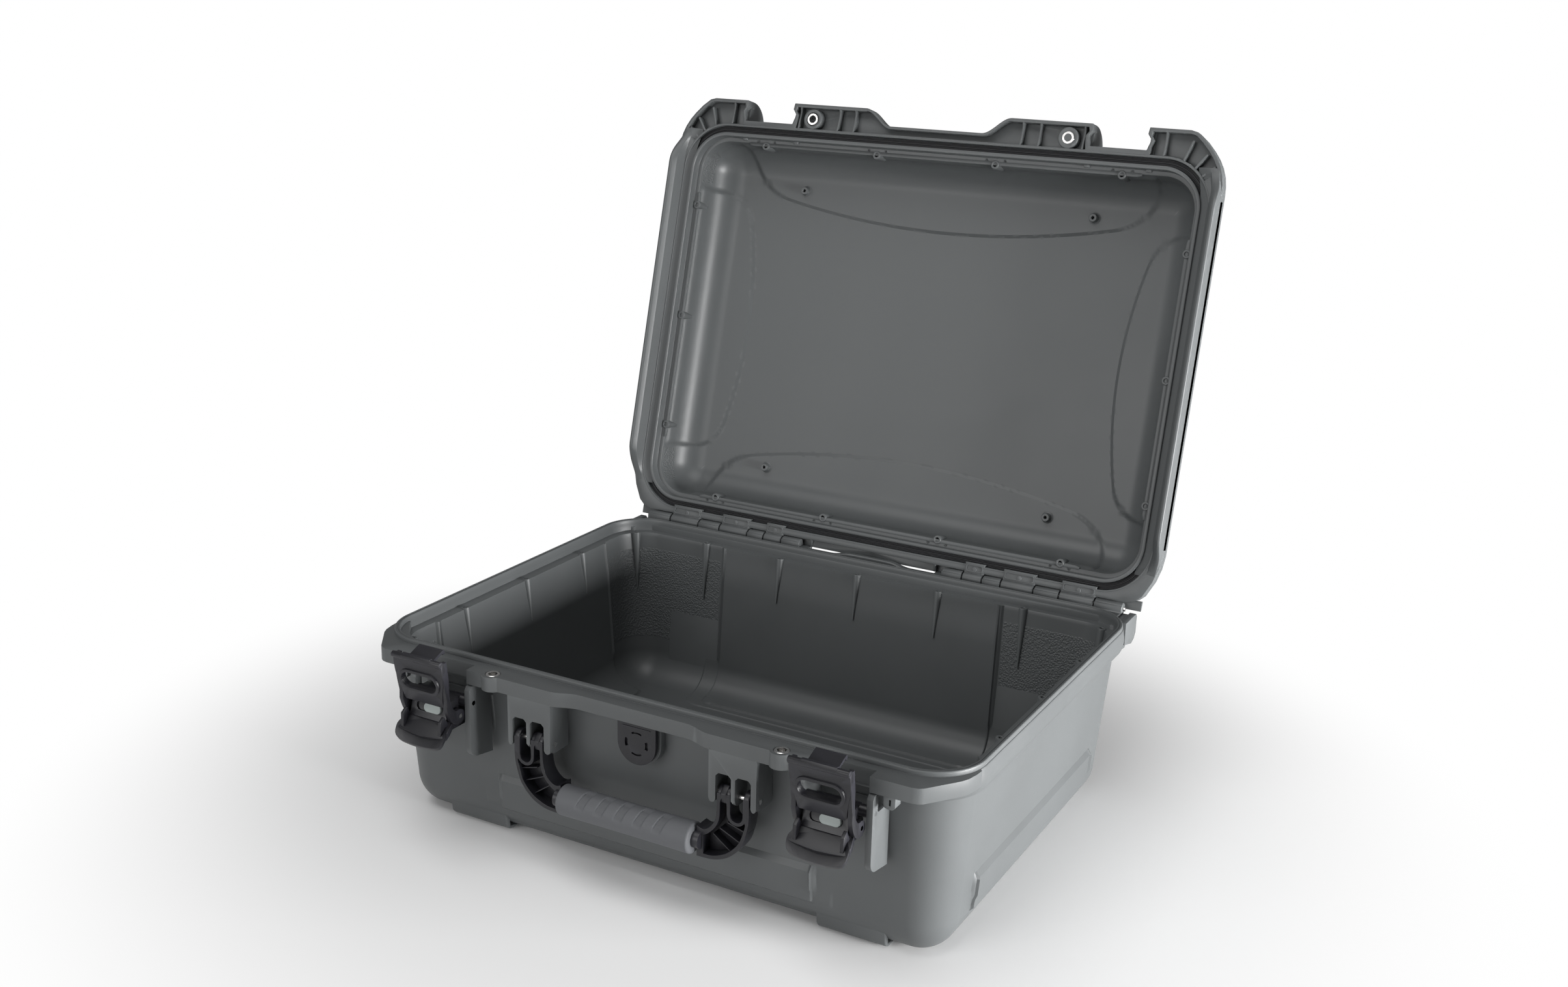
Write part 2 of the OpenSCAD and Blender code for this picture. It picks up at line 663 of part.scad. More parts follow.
module latch_claw(side) color(black) at_claw(side) rotate([claw_lean, 0, 0]) {
    difference() {
        union() {
            translate([0, claw_t - claw_face, 0]) rotate([90 - claw_rake, 0, 0]) linear_extrude(claw_t) claw_outline();
            // Top bar with the hook that holds the lid
            x_prism(-claw_w / 2, claw_w / 2, [[-1.9, claw_top - hook_t], [-1.2, claw_top], [hook_l, claw_top],
                [hook_l, claw_top - hook_t]]);
            x_prism(-claw_w / 2, claw_w / 2, [[hook_l - 2.8, claw_top - hook_t - 2], [hook_l, claw_top - hook_t - 2],
                [hook_l, claw_top - 3], [hook_l - 2.8, claw_top - 3]]);
            for (i = [-1, 1]) {
                x0 = i > 0 ? claw_w / 2 - cheek_t : -claw_w / 2;
                x_rod(x0, x0 + cheek_t, 0, 0, claw_boss_r);
                x_prism(x0, x0 + cheek_t, [[3, -4], [-3, -4], [-7, 0], [0.6 - claw_face, claw_low], [-2, claw_top - 1],
                    [6, claw_top - 1], [3, 40], [0.5, 28], [-4.2, 18], [-4.4, 7], [2, 4]]);
            }
        }
        x_rod(-claw_w, claw_w, 0, 0, claw_pin_r + pin_gap);
        // Opening below the face for the slide lock
        translate([-opening_w / 2, -claw_face - 6, -10]) cube([opening_w, claw_face + 3.6, opening_up + 10]);
    }
}

module latch_pin(side) color(steel) at_lever(side)
    x_rod(-bay_w / 2 - fin_t, bay_w / 2 + fin_t, 0, 0, lever_pin_r);
module claw_pin(side) color(steel) at_claw(side) x_rod(-claw_w / 2, claw_w / 2, 0, 0, claw_pin_r);

module latch_lever_left() latch_lever(-1);
module latch_lever_right() latch_lever(1);
module latch_claw_left() latch_claw(-1);
module latch_claw_right() latch_claw(1);
module latch_lock_left() latch_lock(-1);
module latch_lock_right() latch_lock(1);
module latch_pin_left() latch_pin(-1);
module latch_pin_right() latch_pin(1);
module claw_pin_left() claw_pin(-1);
module claw_pin_right() claw_pin(1);

grip_end = grip_l / 2 + 0.1;
function bend(sx, z1) = [for (a = [0:9:90])
    [grip_end + sx * cos(a), handle_z - 11 + (z1 - handle_z + 11) * sin(a)]];
function back_bend(sx, z1) = [for (a = [90:-9:0])
    [grip_end + sx * cos(a), handle_z - 11 + (z1 - handle_z + 11) * sin(a)]];

module handle_frame() color(black) {
    grip_z = handle_z - handle_reach;
    grip_y = handle_y - 6;
    slot1 = bracket_x - outer_cheek - slot_w;
    ear1 = slot1 + (slot_w - ear_w) / 2;
    ear2 = slot1 - web_w - slot_w + (slot_w - ear_w) / 2;
    both_sides() difference() {
        union() {
            x_rod(ear1, ear1 + ear_w, handle_y, handle_z, ear_r);
            x_rod(ear2, ear2 + ear_w, handle_y, handle_z, ear_r);
            // Curved arm from the ears to the end of the grip
            y_prism(handle_y + ear_r, 2 * ear_r, concat([[ear2, handle_z], [ear1 + ear_w, handle_z]],
                bend(ear1 + ear_w - grip_end, grip_z - 14.3), back_bend(ear2 - grip_end, grip_z + 13.5)));
        }
        x_rod(ear2 - 1, ear1 + ear_w + 1, handle_y, handle_z, handle_pin_r + pin_gap);
        // Slot that straddles the web of the bracket
        translate([ear2 + ear_w, handle_y - 20, handle_z - 17]) cube([ear1 - ear2 - ear_w, 40, 40]);
        translate([(ear2 + ear_w + ear1) / 2, handle_y + 20, handle_z - 17]) rotate([90, 0, 0])
            cylinder(d = ear1 - ear2 - ear_w, h = 40, $fn = coarse);
    }
    x_rod(-grip_l / 2 - 6, grip_l / 2 + 6, grip_y, grip_z, core_r);
}

module handle_grip() color(soft_grey) {
    groove = 1.2;
    len = grip_l / 2;
    crown = [for (i = [-24:24]) let (x = len * i / 24)
        [grip_r - 2.2 * pow(abs(x) / len, 4) - groove * max(0, cos(x * 360 / 18)) * (abs(x) < 46 ? 1 : 0), x]];
    translate([0, handle_y - 6, handle_z - handle_reach]) rotate([0, 90, 0]) difference() {
        rotate_extrude($fn = coarse) polygon(concat([[0, len], [0, -len]], crown));
        translate([0, 0, -len - 1]) cylinder(r = core_r + 0.03, h = 2 * len + 2, $fn = fine);
    }
}

module handle_pin(side) color(steel) {
    mirror([side < 0 ? 1 : 0, 0, 0]) x_rod(bracket_x - bracket_w, bracket_x, handle_y, handle_z, handle_pin_r);
}
module handle_pin_left() handle_pin(-1);
module handle_pin_right() handle_pin(1);

// Steel ring pressed into the flange
module eyelet(h) {
    difference() {
        union() {
            cylinder(r = eyelet_r - 0.03, h = h - 0.8, $fn = fine);
            translate([0, 0, h - 0.8]) cylinder(r1 = eyelet_r - 0.03, r2 = eyelet_r - 0.8, h = 0.8, $fn = fine);
        }
        translate([0, 0, -1]) cylinder(r = eyelet_hole_r, h = h + 2, $fn = fine);
    }
}
module base_eyelet(side) color(steel)
    translate([side * eyelet_x, front_y + 5, zp - flange_t - 0.5]) eyelet(flange_t + 0.6);
module base_eyelet_left() base_eyelet(-1);
module base_eyelet_right() base_eyelet(1);
module lid_eyelet(side) color(steel) at_hinge()
    translate([side * eyelet_x, front_y + 5, rim_t + 0.4]) mirror([0, 0, 1]) eyelet(rim_t - rim_gap + 0.2);
module lid_eyelet_left() lid_eyelet(-1);
module lid_eyelet_right() lid_eyelet(1);

// D-shaped cover with four arc slots, standing off its seat on a short neck
module valve_cover() color(black) difference() {
    union() {
        valve_outline(valve_seat_y - 4, 3, valve_w / 2);
        y_bore(0, valve_z, valve_stem_r + 3, valve_seat_y - 1.5, 1.5);
    }
    for (a = [0:90:270]) {
        translate([0, valve_seat_y - 5, valve_z]) rotate([-90, 0, 0]) linear_extrude(2) polygon(
            concat(arc(0, 0, 10, a + 20, a + 70, 6), arc(0, 0, 8.4, a + 70, a + 20, 6)));
    }
}

// Tube through the wall with a collar inside
module valve_body() color(black) difference() {
    union() {
        y_bore(0, valve_z, valve_stem_r, valve_seat_y, valve_in_y + 4.4 - valve_seat_y);
        y_bore(0, valve_z, valve_stem_r + 3.4, valve_in_y + 1.4, 3);
    }
    y_bore(0, valve_z, valve_stem_r - 2, valve_seat_y - 1, 30);
}
module valve_gasket() color(black) difference() {
    y_bore(0, valve_z, valve_stem_r + 3, valve_in_y, 1.4);
    y_bore(0, valve_z, valve_stem_r + 0.05, valve_in_y - 1, 4);
}
module valve_membrane() color(light_grey) y_bore(0, valve_z, valve_stem_r - 2.05, valve_seat_y + 4, 0.8);

base_shell();
base_tray();
padlock_lug_left();
padlock_lug_right();
lid_shell();
lid_seal();
hinge_pin_left();
hinge_pin_right();
latch_lever_left();
latch_lever_right();
latch_claw_left();
latch_claw_right();
latch_lock_left();
latch_lock_right();
latch_pin_left();
latch_pin_right();
claw_pin_left();
claw_pin_right();
handle_frame();
handle_grip();
handle_pin_left();
handle_pin_right();
base_eyelet_left();
base_eyelet_right();
lid_eyelet_left();
lid_eyelet_right();
valve_cover();
valve_body();
valve_gasket();
valve_membrane();
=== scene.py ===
import math
import bmesh
import bpy
import numpy as np
from mathutils import Matrix, Vector


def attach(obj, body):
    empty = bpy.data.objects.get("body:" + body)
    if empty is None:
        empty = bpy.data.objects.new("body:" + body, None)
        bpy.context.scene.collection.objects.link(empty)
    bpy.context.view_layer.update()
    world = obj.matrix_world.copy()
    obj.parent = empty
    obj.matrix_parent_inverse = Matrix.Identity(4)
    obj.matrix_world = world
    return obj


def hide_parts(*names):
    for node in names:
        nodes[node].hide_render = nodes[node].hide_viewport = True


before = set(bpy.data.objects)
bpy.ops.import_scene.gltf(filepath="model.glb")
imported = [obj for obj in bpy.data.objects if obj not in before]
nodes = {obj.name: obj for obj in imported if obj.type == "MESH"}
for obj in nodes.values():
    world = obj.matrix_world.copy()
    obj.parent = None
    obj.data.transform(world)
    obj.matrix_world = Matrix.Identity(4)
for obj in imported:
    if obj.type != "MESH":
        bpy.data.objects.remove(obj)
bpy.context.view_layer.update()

# Sizes in millimetres, as in the CAD source. Heights z are absolute.
HX, HY, CR, ZP = 255.0, 181.0, 34.0, 157.0  # half mouth, its corner radius, height of the parting plane
CX, CY = HX - CR, HY - CR  # centre of the mouth's corner
FRONT, PANEL, BAY, RECESS = -208.0, -185.5, -197.0, -201.5  # y of the base's front faces
LIDF, BACK = -217.0, 197.5  # y of the lid's front edge and of both back edges
HINGE_Y, HINGE_Z, OPEN = 203.7, 158.4, math.radians(104.5)
LATCH_X, LEVER_Y, LEVER_Z = 177.0, -206.0, 129.0
HANDLE_Y, HANDLE_Z = -201.0, 110.0
GRIP_Y, GRIP_Z, GRIP_R, GRIP_HALF = -207.0, 69.0, 12.5, 60.0
EYELET_X, EYELET_Y, EYELET_R = 129.5, -203.0, 6.2
VALVE_Z = 126.0
KNUCKLES = [75, 95, 115, 133, 165, 189, 222, 248]
SIDES = (-1, 1)
CORNERS = [(i, j) for i in SIDES for j in SIDES]

to_open = (
    Matrix.Translation((0, HINGE_Y, HINGE_Z))
    @ Matrix.Rotation(-OPEN, 4, "X")
    @ Matrix.Translation((0, -HINGE_Y, ZP - HINGE_Z))
)


# ---------------------------------------------------------------- materials
class Sock:
    """An output of a node, with arithmetic that makes further nodes."""

    def __init__(self, tree, out):
        self.tree, self.out = tree, out

    def op(self, operation, *others, clamp=False):
        return make(self.tree, "Math", (self, *others), operation=operation, use_clamp=clamp)

    def __add__(self, b):
        return self.op("ADD", b)

    def __sub__(self, b):
        return self.op("SUBTRACT", b)

    def __mul__(self, b):
        return self.op("MULTIPLY", b)

    def step(self, low, high, first=0.0, last=1.0):
        ends = {"Value": self, "From Min": low, "From Max": high, "To Min": first, "To Max": last}
        return make(self.tree, "MapRange", ends, interpolation_type="SMOOTHSTEP")

    __radd__ = __add__
    __rmul__ = __mul__


def make(tree, kind, ins=(), out=0, **props):
    n = tree.nodes.new("ShaderNode" + kind)
    for k, v in props.items():
        setattr(n, k, v)
    for k, v in ins.items() if isinstance(ins, dict) else enumerate(ins):
        if isinstance(v, Sock):
            tree.links.new(v.out, n.inputs[k])
        elif v is not None:
            n.inputs[k].default_value = v
    return Sock(tree, n.outputs[out])


def colour(c, k=1.0):
    return (c[0] * k, c[1] * k, c[2] * k, 1.0)


def finish(name, base, rough, metal=0.0, mottle=0.05, grain=900.0, depth=0.00003, wear=0.35, extra=None):
    """A procedural finish: mottled colour, uneven gloss, fine grain, faint scratches and lighter edges."""
    m = bpy.data.materials.new(name)
    m.use_nodes = True
    t = m.node_tree
    t.nodes.clear()
    pos = make(t, "TexCoord", out="Object")
    big = make(t, "TexNoise", {"Vector": pos, "Scale": 7.0, "Detail": 5.0, "Roughness": 0.6})
    fine = make(t, "TexNoise", {"Vector": pos, "Scale": grain, "Detail": 2.0})
    along = make(t, "Mapping", {"Vector": pos, "Rotation": (0.4, 0.9, 0.6), "Scale": (1.0, 40.0, 40.0)})
    marks = make(t, "TexNoise", {"Vector": along, "Scale": 24.0, "Detail": 3.0}).step(0.67, 0.73)
    edge = make(t, "NewGeometry", out="Pointiness").step(0.53, 0.64)
    tone = make(t, "MixRGB", (big.step(0.3, 0.7), colour(base, 1 - mottle), colour(base, 1 + mottle)))
    tone = make(t, "MixRGB", (edge * wear + marks * 0.04, tone, colour(base, 2.0)))
    gloss = big.step(0.3, 0.75, rough - 0.03, rough + 0.04) + fine * 0.04 + marks * 0.05
    height = fine * 1.0
    if extra:
        tone, gloss, height = extra(t, pos, tone, gloss, height)
    bump = make(t, "Bump", {"Height": height, "Distance": depth, "Strength": 1.0})
    p = make(t, "BsdfPrincipled", {"Base Color": tone, "Roughness": gloss, "Metallic": metal, "Normal": bump})
    o = t.nodes.new("ShaderNodeOutputMaterial")
    t.links.new(p.out, o.inputs["Surface"])
    return m


def axes(t, pos):
    return [make(t, "SeparateXYZ", (pos,), out=i) for i in range(3)]


GREY = (0.088, 0.094, 0.096)


def leather(t, pos, mask, gloss, height):
    cell = make(t, "TexVoronoi", {"Vector": pos, "Scale": 560.0}, out="Distance")
    return gloss + mask * 0.08, height + cell.step(0.1, 0.8, 1, 0) * mask * 14.0


def base_extra(t, pos, tone, gloss, height):
    """Leather grain on the corner columns inside the base, where the surface faces the middle."""
    outward = make(t, "VectorMath", (pos, make(t, "NewGeometry", out="Normal")), "Value", operation="DOT_PRODUCT")
    x, y, z = axes(t, pos)
    ax, ay = x.op("ABSOLUTE"), y.op("ABSOLUTE")
    col = ax.step(0.1475, 0.1485) * ay.step(0.1275, 0.1285)
    inside = ax.step(0.2505, 0.2515, 1, 0) * ay.step(0.1765, 0.1775, 1, 0) * outward.step(-0.06, -0.04, 1, 0)
    level = z.step(0.0435, 0.0450) * z.step(0.1335, 0.1350, 1, 0)
    gloss, height = leather(t, pos, col * inside * level, gloss, height)
    return tone, gloss, height


def lid_extra(t, pos, tone, gloss, height):
    """Leather grain on the corner walls inside the lid, which is drawn open."""
    moved = {"Vector": pos, "Location": tuple(v * 0.001 for v in to_open.translation), "Rotation": (-OPEN, 0, 0)}
    shut = make(t, "Mapping", moved, vector_type="TEXTURE")
    x, y, h = axes(t, shut)
    col = x.op("ABSOLUTE").step(0.2405, 0.2435) * y.op("ABSOLUTE").step(0.1345, 0.1360)
    inside = x.op("ABSOLUTE").step(0.2525, 0.2535, 1, 0)
    level = h.step(0.0130, 0.0140) * h.step(0.0300, 0.0320, 1, 0)
    gloss, height = leather(t, pos, col * inside * level, gloss, height)
    return tone, gloss, height


M = {"base": finish("graphite_base", GREY, 0.42, extra=base_extra), "lid": finish("graphite_lid", GREY, 0.40,
    extra=lid_extra), "hard": finish("graphite_fittings", GREY, 0.42), "black": finish("black_plastic",
    (0.010, 0.010, 0.013), 0.36, mottle=0.1, grain=1100.0, wear=0.8), "seal": finish("black_rubber",
    (0.006, 0.006, 0.008), 0.5, mottle=0.2, grain=700.0), "grip": finish("grip_rubber", (0.100, 0.104, 0.112),
    0.58, mottle=0.05, grain=1500.0, depth=0.00008, wear=0.2), "lock": finish("lock_plastic",
    (0.34, 0.38, 0.37), 0.4, mottle=0.05, wear=0.1), "steel": finish("turned_steel", (0.66, 0.65, 0.64), 0.2,
    metal=1.0, mottle=0.1, grain=260.0, wear=0.2), "membrane": finish("membrane_cloth", (0.55, 0.55, 0.53), 0.8,
    mottle=0.08, grain=1800.0, wear=0.0), }


# ------------------------------------------------------------------ meshes
def baked(o):
    """Replaces the modifiers of an object by their result."""
    me = bpy.data.meshes.new_from_object(o.evaluated_get(bpy.context.evaluated_depsgraph_get()))
    o.modifiers.clear()
    old = o.data
    o.data = me
    bpy.data.meshes.remove(old)


def dress(o, body, mat, angle=32.0, stands_for=()):
    o.data.name = o.name
    o.data.shade_smooth()
    o.data.set_sharp_from_angle(angle=math.radians(angle))
    o.data.materials.clear()
    o.data.materials.append(M[mat])
    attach(o, body)
    if stands_for:
        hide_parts(*stands_for)
    return o


def placed(bm, name, place=None):
    """Makes an object in metres from a bmesh in millimetres."""
    bmesh.ops.remove_doubles(bm, verts=bm.verts, dist=1e-3)
    bmesh.ops.dissolve_degenerate(bm, edges=bm.edges, dist=1e-4)
    bmesh.ops.recalc_face_normals(bm, faces=bm.faces)
    me = bpy.data.meshes.new(name)
    bm.to_mesh(me)
    bm.free()
    me.transform(Matrix.Scale(0.001, 4) @ (place or Matrix()))
    o = bpy.data.objects.new(name, me)
    bpy.context.scene.collection.objects.link(o)
    return o


def settle(bm, name, body, mat, angle=32.0, place=None, stands_for=(), bevel=0.0, segments=2, limit=30.0,
        fused=False):
    """Turns a bmesh in millimetres into a finished piece that rides on a body."""
    o = placed(bm, name, place)
    if fused:
        # joins overlapping parts into one skin: a speck buried in the first part serves as the second operand
        speck = placed(prism(bmesh.new(), "z", 0, 0.02, [(0, 0), (0.02, 0), (0, 0.02)]), "speck")
        c = o.data.polygons[0]
        speck.data.transform(Matrix.Translation(c.center - c.normal * 0.0004))
        join = o.modifiers.new("join", "BOOLEAN")
        join.operation, join.solver, join.use_self, join.object = "UNION", "EXACT", True, speck
        baked(o)
        bpy.data.objects.remove(speck)
        clean = bmesh.new()
        clean.from_mesh(o.data)
        bmesh.ops.remove_doubles(clean, verts=clean.verts, dist=2e-5)
        bmesh.ops.dissolve_limit(clean, angle_limit=math.radians(0.8), verts=clean.verts, edges=clean.edges)
        clean.to_mesh(o.data)
        clean.free()
    if bevel:
        b = o.modifiers.new("edge", "BEVEL")
        b.width, b.segments, b.limit_method, b.angle_limit = bevel * 0.001, segments, "ANGLE", math.radians(limit)
        b.use_clamp_overlap = True
        baked(o)
    return dress(o, body, mat, angle, stands_for)


def enabled(sockets, name):
    return next(k for k in sockets if k.enabled and k.name == name)


def repeat_tree():
    """Sets a piece on every spot, turned and sized by what is stored there, with a seeded twist."""
    g = bpy.data.node_groups.new("repeat_on_spots", "GeometryNodeTree")
    for label, way, kind in (("Spots", "INPUT", "Geometry"), ("Piece", "INPUT", "Object"),
            ("Finish", "INPUT", "Material"), ("Seed", "INPUT", "Int"), ("Twist", "INPUT", "Float"),
            ("Result", "OUTPUT", "Geometry")):
        g.interface.new_socket(label, in_out=way, socket_type="NodeSocket" + kind)
    n = {k: g.nodes.new(v) for k, v in {"in": "NodeGroupInput", "out": "NodeGroupOutput",
        "piece": "GeometryNodeObjectInfo", "points": "GeometryNodeMeshToPoints",
        "turn": "GeometryNodeInputNamedAttribute", "size": "GeometryNodeInputNamedAttribute",
        "euler": "FunctionNodeEulerToRotation", "set": "GeometryNodeInstanceOnPoints",
        "chance": "FunctionNodeRandomValue", "axis": "ShaderNodeCombineXYZ",
        "twist": "GeometryNodeRotateInstances", "real": "GeometryNodeRealizeInstances",
        "finish": "GeometryNodeSetMaterial"}.items()}
    for k in ("turn", "size"):
        n[k].data_type = "FLOAT_VECTOR"
        n[k].inputs["Name"].default_value = k
    n["chance"].data_type = "FLOAT"
    enabled(n["chance"].inputs, "Min").default_value = 0.0
    for a, out, b, inp in (("in", "Spots", "points", "Mesh"), ("in", "Piece", "piece", "Object"),
            ("points", "Points", "set", "Points"), ("piece", "Geometry", "set", "Instance"),
            ("turn", "Attribute", "euler", "Euler"), ("euler", "Rotation", "set", "Rotation"),
            ("size", "Attribute", "set", "Scale"), ("in", "Twist", "chance", "Max"),
            ("in", "Seed", "chance", "Seed"), ("chance", "Value", "axis", "Z"),
            ("axis", "Vector", "twist", "Rotation"), ("set", "Instances", "twist", "Instances"),
            ("twist", "Instances", "real", "Geometry"), ("real", "Geometry", "finish", "Geometry"),
            ("in", "Finish", "finish", "Material"), ("finish", "Geometry", "out", "Result")):
        g.links.new(enabled(n[a].outputs, out), enabled(n[b].inputs, inp))
    return g


TREE = repeat_tree()


def repeat(name, bm, spots, body, mat, place=None, angle=35.0, twist=0.0):
    """One small shape in millimetres on many spots: (point, direction of its +Z axis, size)."""
    piece = placed(bm, name + "_one")
    me = bpy.data.meshes.new(name)
    me.from_pydata([tuple(c * 0.001 for c in p[0]) for p in spots], [], [])
    for key, rows in (("turn", [Vector((0, 0,
            1)).rotation_difference(Vector(p[1])).to_euler()[:] for p in spots]),
            ("size", [p[2] if len(p) > 2 else (1, 1, 1) for p in spots])):
        me.attributes.new(key, "FLOAT_VECTOR", "POINT").data.foreach_set("vector", [c for r in rows for c in r])
    o = bpy.data.objects.new(name, me)
    bpy.context.scene.collection.objects.link(o)
    mod = o.modifiers.new("repeat", "NODES")
    mod.node_group = TREE
    given = {"Piece": piece, "Finish": M[mat], "Seed": 7, "Twist": twist}
    for item in TREE.interface.items_tree:
        if item.in_out == "INPUT" and item.name in given:
            mod[item.identifier] = given[item.name]
    baked(o)
    bpy.data.objects.remove(piece)
    if place is not None:
        o.data.transform(Matrix.Scale(0.001, 4) @ place @ Matrix.Scale(1000, 4))
    return dress(o, body, mat, angle)


def soft_copy(node, name, body, mat, bevel=0.4, segments=2, angle=35.0, limit=32.0):
    """A copy of a CAD node with merged faces and rounded edges."""
    bm = bmesh.new()
    bm.from_mesh(nodes[node].data)
    for v in bm.verts:
        v.co *= 1000.0
    bmesh.ops.remove_doubles(bm, verts=bm.verts, dist=2e-3)
    bmesh.ops.dissolve_limit(bm, angle_limit=math.radians(0.6), verts=bm.verts, edges=bm.edges)
    return settle(bm, name, body, mat, angle, None, (node,), bevel, segments, limit)


def grid_faces(n, m, closed):
    i, j = np.meshgrid(np.arange(n - 1), np.arange(m if closed else m - 1), indexing="ij")
    a, k = i * m + j, (j + 1) % m
    return np.stack([a, i * m + k, (i + 1) * m + k, (i + 1) * m + j], -1).reshape(-1, 4)


def ring(cx, cy, r, z, xs, ys, nc):
    """Rounded rectangle: corner centres at (cx, cy), corner radius r."""
    a = np.linspace(0, math.pi / 2, nc + 1)
    pts = []
    sides = [(cx + r, ys), (cy + r, -xs), (-(cx + r), -ys), (-(cy + r), xs)]
    corners = [(cx, cy), (-cx, cy), (-cx, -cy), (cx, -cy)]
    for k, (d, s) in enumerate(sides):
        pts += [(d, v) if k % 2 == 0 else (v, d) for v in s]
        c = corners[k]
        pts += [(c[0] + r * math.cos(t + k * math.pi / 2), c[1] + r * math.sin(t + k * math.pi / 2)) for t in a]
    return np.array([(p[0], p[1], z) for p in pts])


def loft(levels, xs, ys, nc, push=None, floors=(True, True)):
    """Vertices and faces of stacked rounded rectangles, with a flat grid closing each end."""
    rings = np.array([ring(*lv, xs, ys, nc) for lv in levels])
    n, m = rings.shape[:2]
    verts, faces = [rings.reshape(-1, 3)], [grid_faces(n, m, True)]
    level, at = [np.repeat(np.arange(n), m)], n * m
    for k, lv in ((0, levels[0]), (n - 1, levels[-1])):
        if floors[k > 0]:
            gx = np.concatenate([[-lv[0]], xs, [lv[0]]])
            gy = np.concatenate([[-lv[1]], ys, [lv[1]]])
            g = np.stack(np.meshgrid(gx, gy, indexing="ij"), -1).reshape(-1, 2)
            verts.append(np.column_stack([g, np.full(len(g), lv[3])]))
            faces.append(grid_faces(len(gx), len(gy), False) + at)
            level.append(np.full(len(g), k))
            at += len(g)
    v = np.concatenate(verts)
    if push:
        v = push(v, np.concatenate(level))
    return v, np.concatenate(faces)


def swell(bm, amount):
    """Moves vertices along their normals by amount(x, y, z, normals), in millimetres."""
    bmesh.ops.remove_doubles(bm, verts=bm.verts, dist=1e-3)
    bmesh.ops.recalc_face_normals(bm, faces=bm.faces)
    bm.normal_update()
    co = np.array([v.co[:] for v in bm.verts])
    no = np.array([v.normal[:] for v in bm.verts])
    co += no * amount(*co.T, no)[:, None]
    for v, c in zip(bm.verts, co):
        v.co = c
    return bm


def smin(a, b, k):
    h = np.maximum(k - np.abs(a - b), 0) / k
    return np.minimum(a, b) - h * h * k * 0.25


def mesh_of(*parts):
    bm = bmesh.new()
    for v, f in parts:
        made = [bm.verts.new(p) for p in v]
        for q in f:
            try:
                bm.faces.new([made[i] for i in q])
            except ValueError:
                pass
    return bm


def sstep(a, b, x):
    t = np.clip((x - a) / (b - a), 0, 1)
    return t * t * (3 - 2 * t)


def arc(cx, cy, r, a0, a1, n):
    turn = [math.radians(a0 + (a1 - a0) * i / n) for i in range(n + 1)]
    return [(cx + r * math.cos(a), cy + r * math.sin(a)) for a in turn]


def ease(x0, y0, x1, y1, n):
    return [(x0 + (x1 - x0) * i / n, y0 + (y1 - y0) * (1 - math.cos(math.pi * i / n)) / 2) for i in range(n + 1)]


def flip(pts):
    return [(-x, y) for x, y in reversed(pts)]


AXES = {"x": lambda u, v, w: (w, u, v), "y": lambda u, v, w: (u, w, v), "z": lambda u, v, w: (u, v, w)}


def prism(bm, axis, lo, hi, outline, holes=(), map_to=None):
    """Adds an outline with holes, extruded along an axis. The outline is (y, z), (x, z) or (x, y)."""
    f = map_to or AXES[axis]
    flat = bmesh.new()
    edges = []
    for loop in [outline, *holes]:
        vs = [flat.verts.new((u, v, 0)) for u, v in loop]
        edges += [flat.edges.new((vs[i], vs[(i + 1) % len(vs)])) for i in range(len(vs))]
    bmesh.ops.triangle_fill(flat, use_beauty=True, use_dissolve=False, edges=edges)
    flat.verts.index_update()
    cap = [[v.index for v in fc.verts] for fc in flat.faces]
    pts = [v.co.copy() for v in flat.verts]
    n = len(pts)
    low = [bm.verts.new(f(p.x, p.y, lo)) for p in pts]
    high = [bm.verts.new(f(p.x, p.y, hi)) for p in pts]
    for c in cap:
        bm.faces.new([low[i] for i in c])
        bm.faces.new([high[i] for i in reversed(c)])
    at = 0
    for loop in [outline, *holes]:
        k = len(loop)
        for i in range(k):
            a, b = at + i, at + (i + 1) % k
            bm.faces.new([low[a], low[b], high[b], high[a]])
        at += k
    flat.free()
    return bm


def bridge(bm, rows):
    """Joins closed rows of as many vertices each into a tube."""
    n = len(rows[0])
    for a, b in zip(rows, rows[1:]):
        for i in range(n):
            bm.faces.new([a[i], a[(i + 1) % n], b[(i + 1) % n], b[i]])


def close_ends(bm, rows):
    bm.faces.new(rows[0])
    bm.faces.new(rows[-1])


def lathe(bm, profile, at, axis, n=40):
    """Adds a turned piece. Its profile is (radius, distance along the axis)."""
    axis = Vector(axis).normalized()
    side = axis.orthogonal().normalized()
    up = axis.cross(side)
    spokes = [side * math.cos(t) + up * math.sin(t) for t in np.linspace(0, 2 * math.pi, n, endpoint=False)]
    rows = []
    for r, d in profile:
        c = Vector(at) + axis * d
        rows.append([bm.verts.new(c + spoke * max(r, 1e-3)) for spoke in spokes])
    bridge(bm, rows)
    for row, r in ((rows[0], profile[0][0]), (rows[-1], profile[-1][0])):
        if r > 0:
            bm.faces.new(row)
    return bm


def turned(profile, n=28):
    """A turned piece on its own that points up."""
    return lathe(bmesh.new(), profile, (0, 0, 0), (0, 0, 1), n)


def both(build):
    """Builds a shape on the right and its mirror on the left."""
    bm = bmesh.new()
    build(bm)
    twin = bmesh.new()
    build(twin)
    for v in twin.verts:
        v.co.x = -v.co.x
    me = bpy.data.meshes.new("twin")
    twin.to_mesh(me)
    bm.from_mesh(me)
    twin.free()
    bpy.data.meshes.remove(me)
    return bm


# ------------------------------------------------------------- base shell
def samples(limit, pitch, marks):
    s = list(np.arange(-limit, limit + 0.01, pitch))
    for m in marks:
        for d in (-1.8, -0.9, 0.0, 0.9, 1.8):
            s += [m + d, -m - d]
    s = np.array(sorted(set(np.round(s, 3))))
    keep = [s[0]]
    for v in s[1:]:
        if v - keep[-1] > 0.6:
            keep.append(v)
    return np.array(keep)


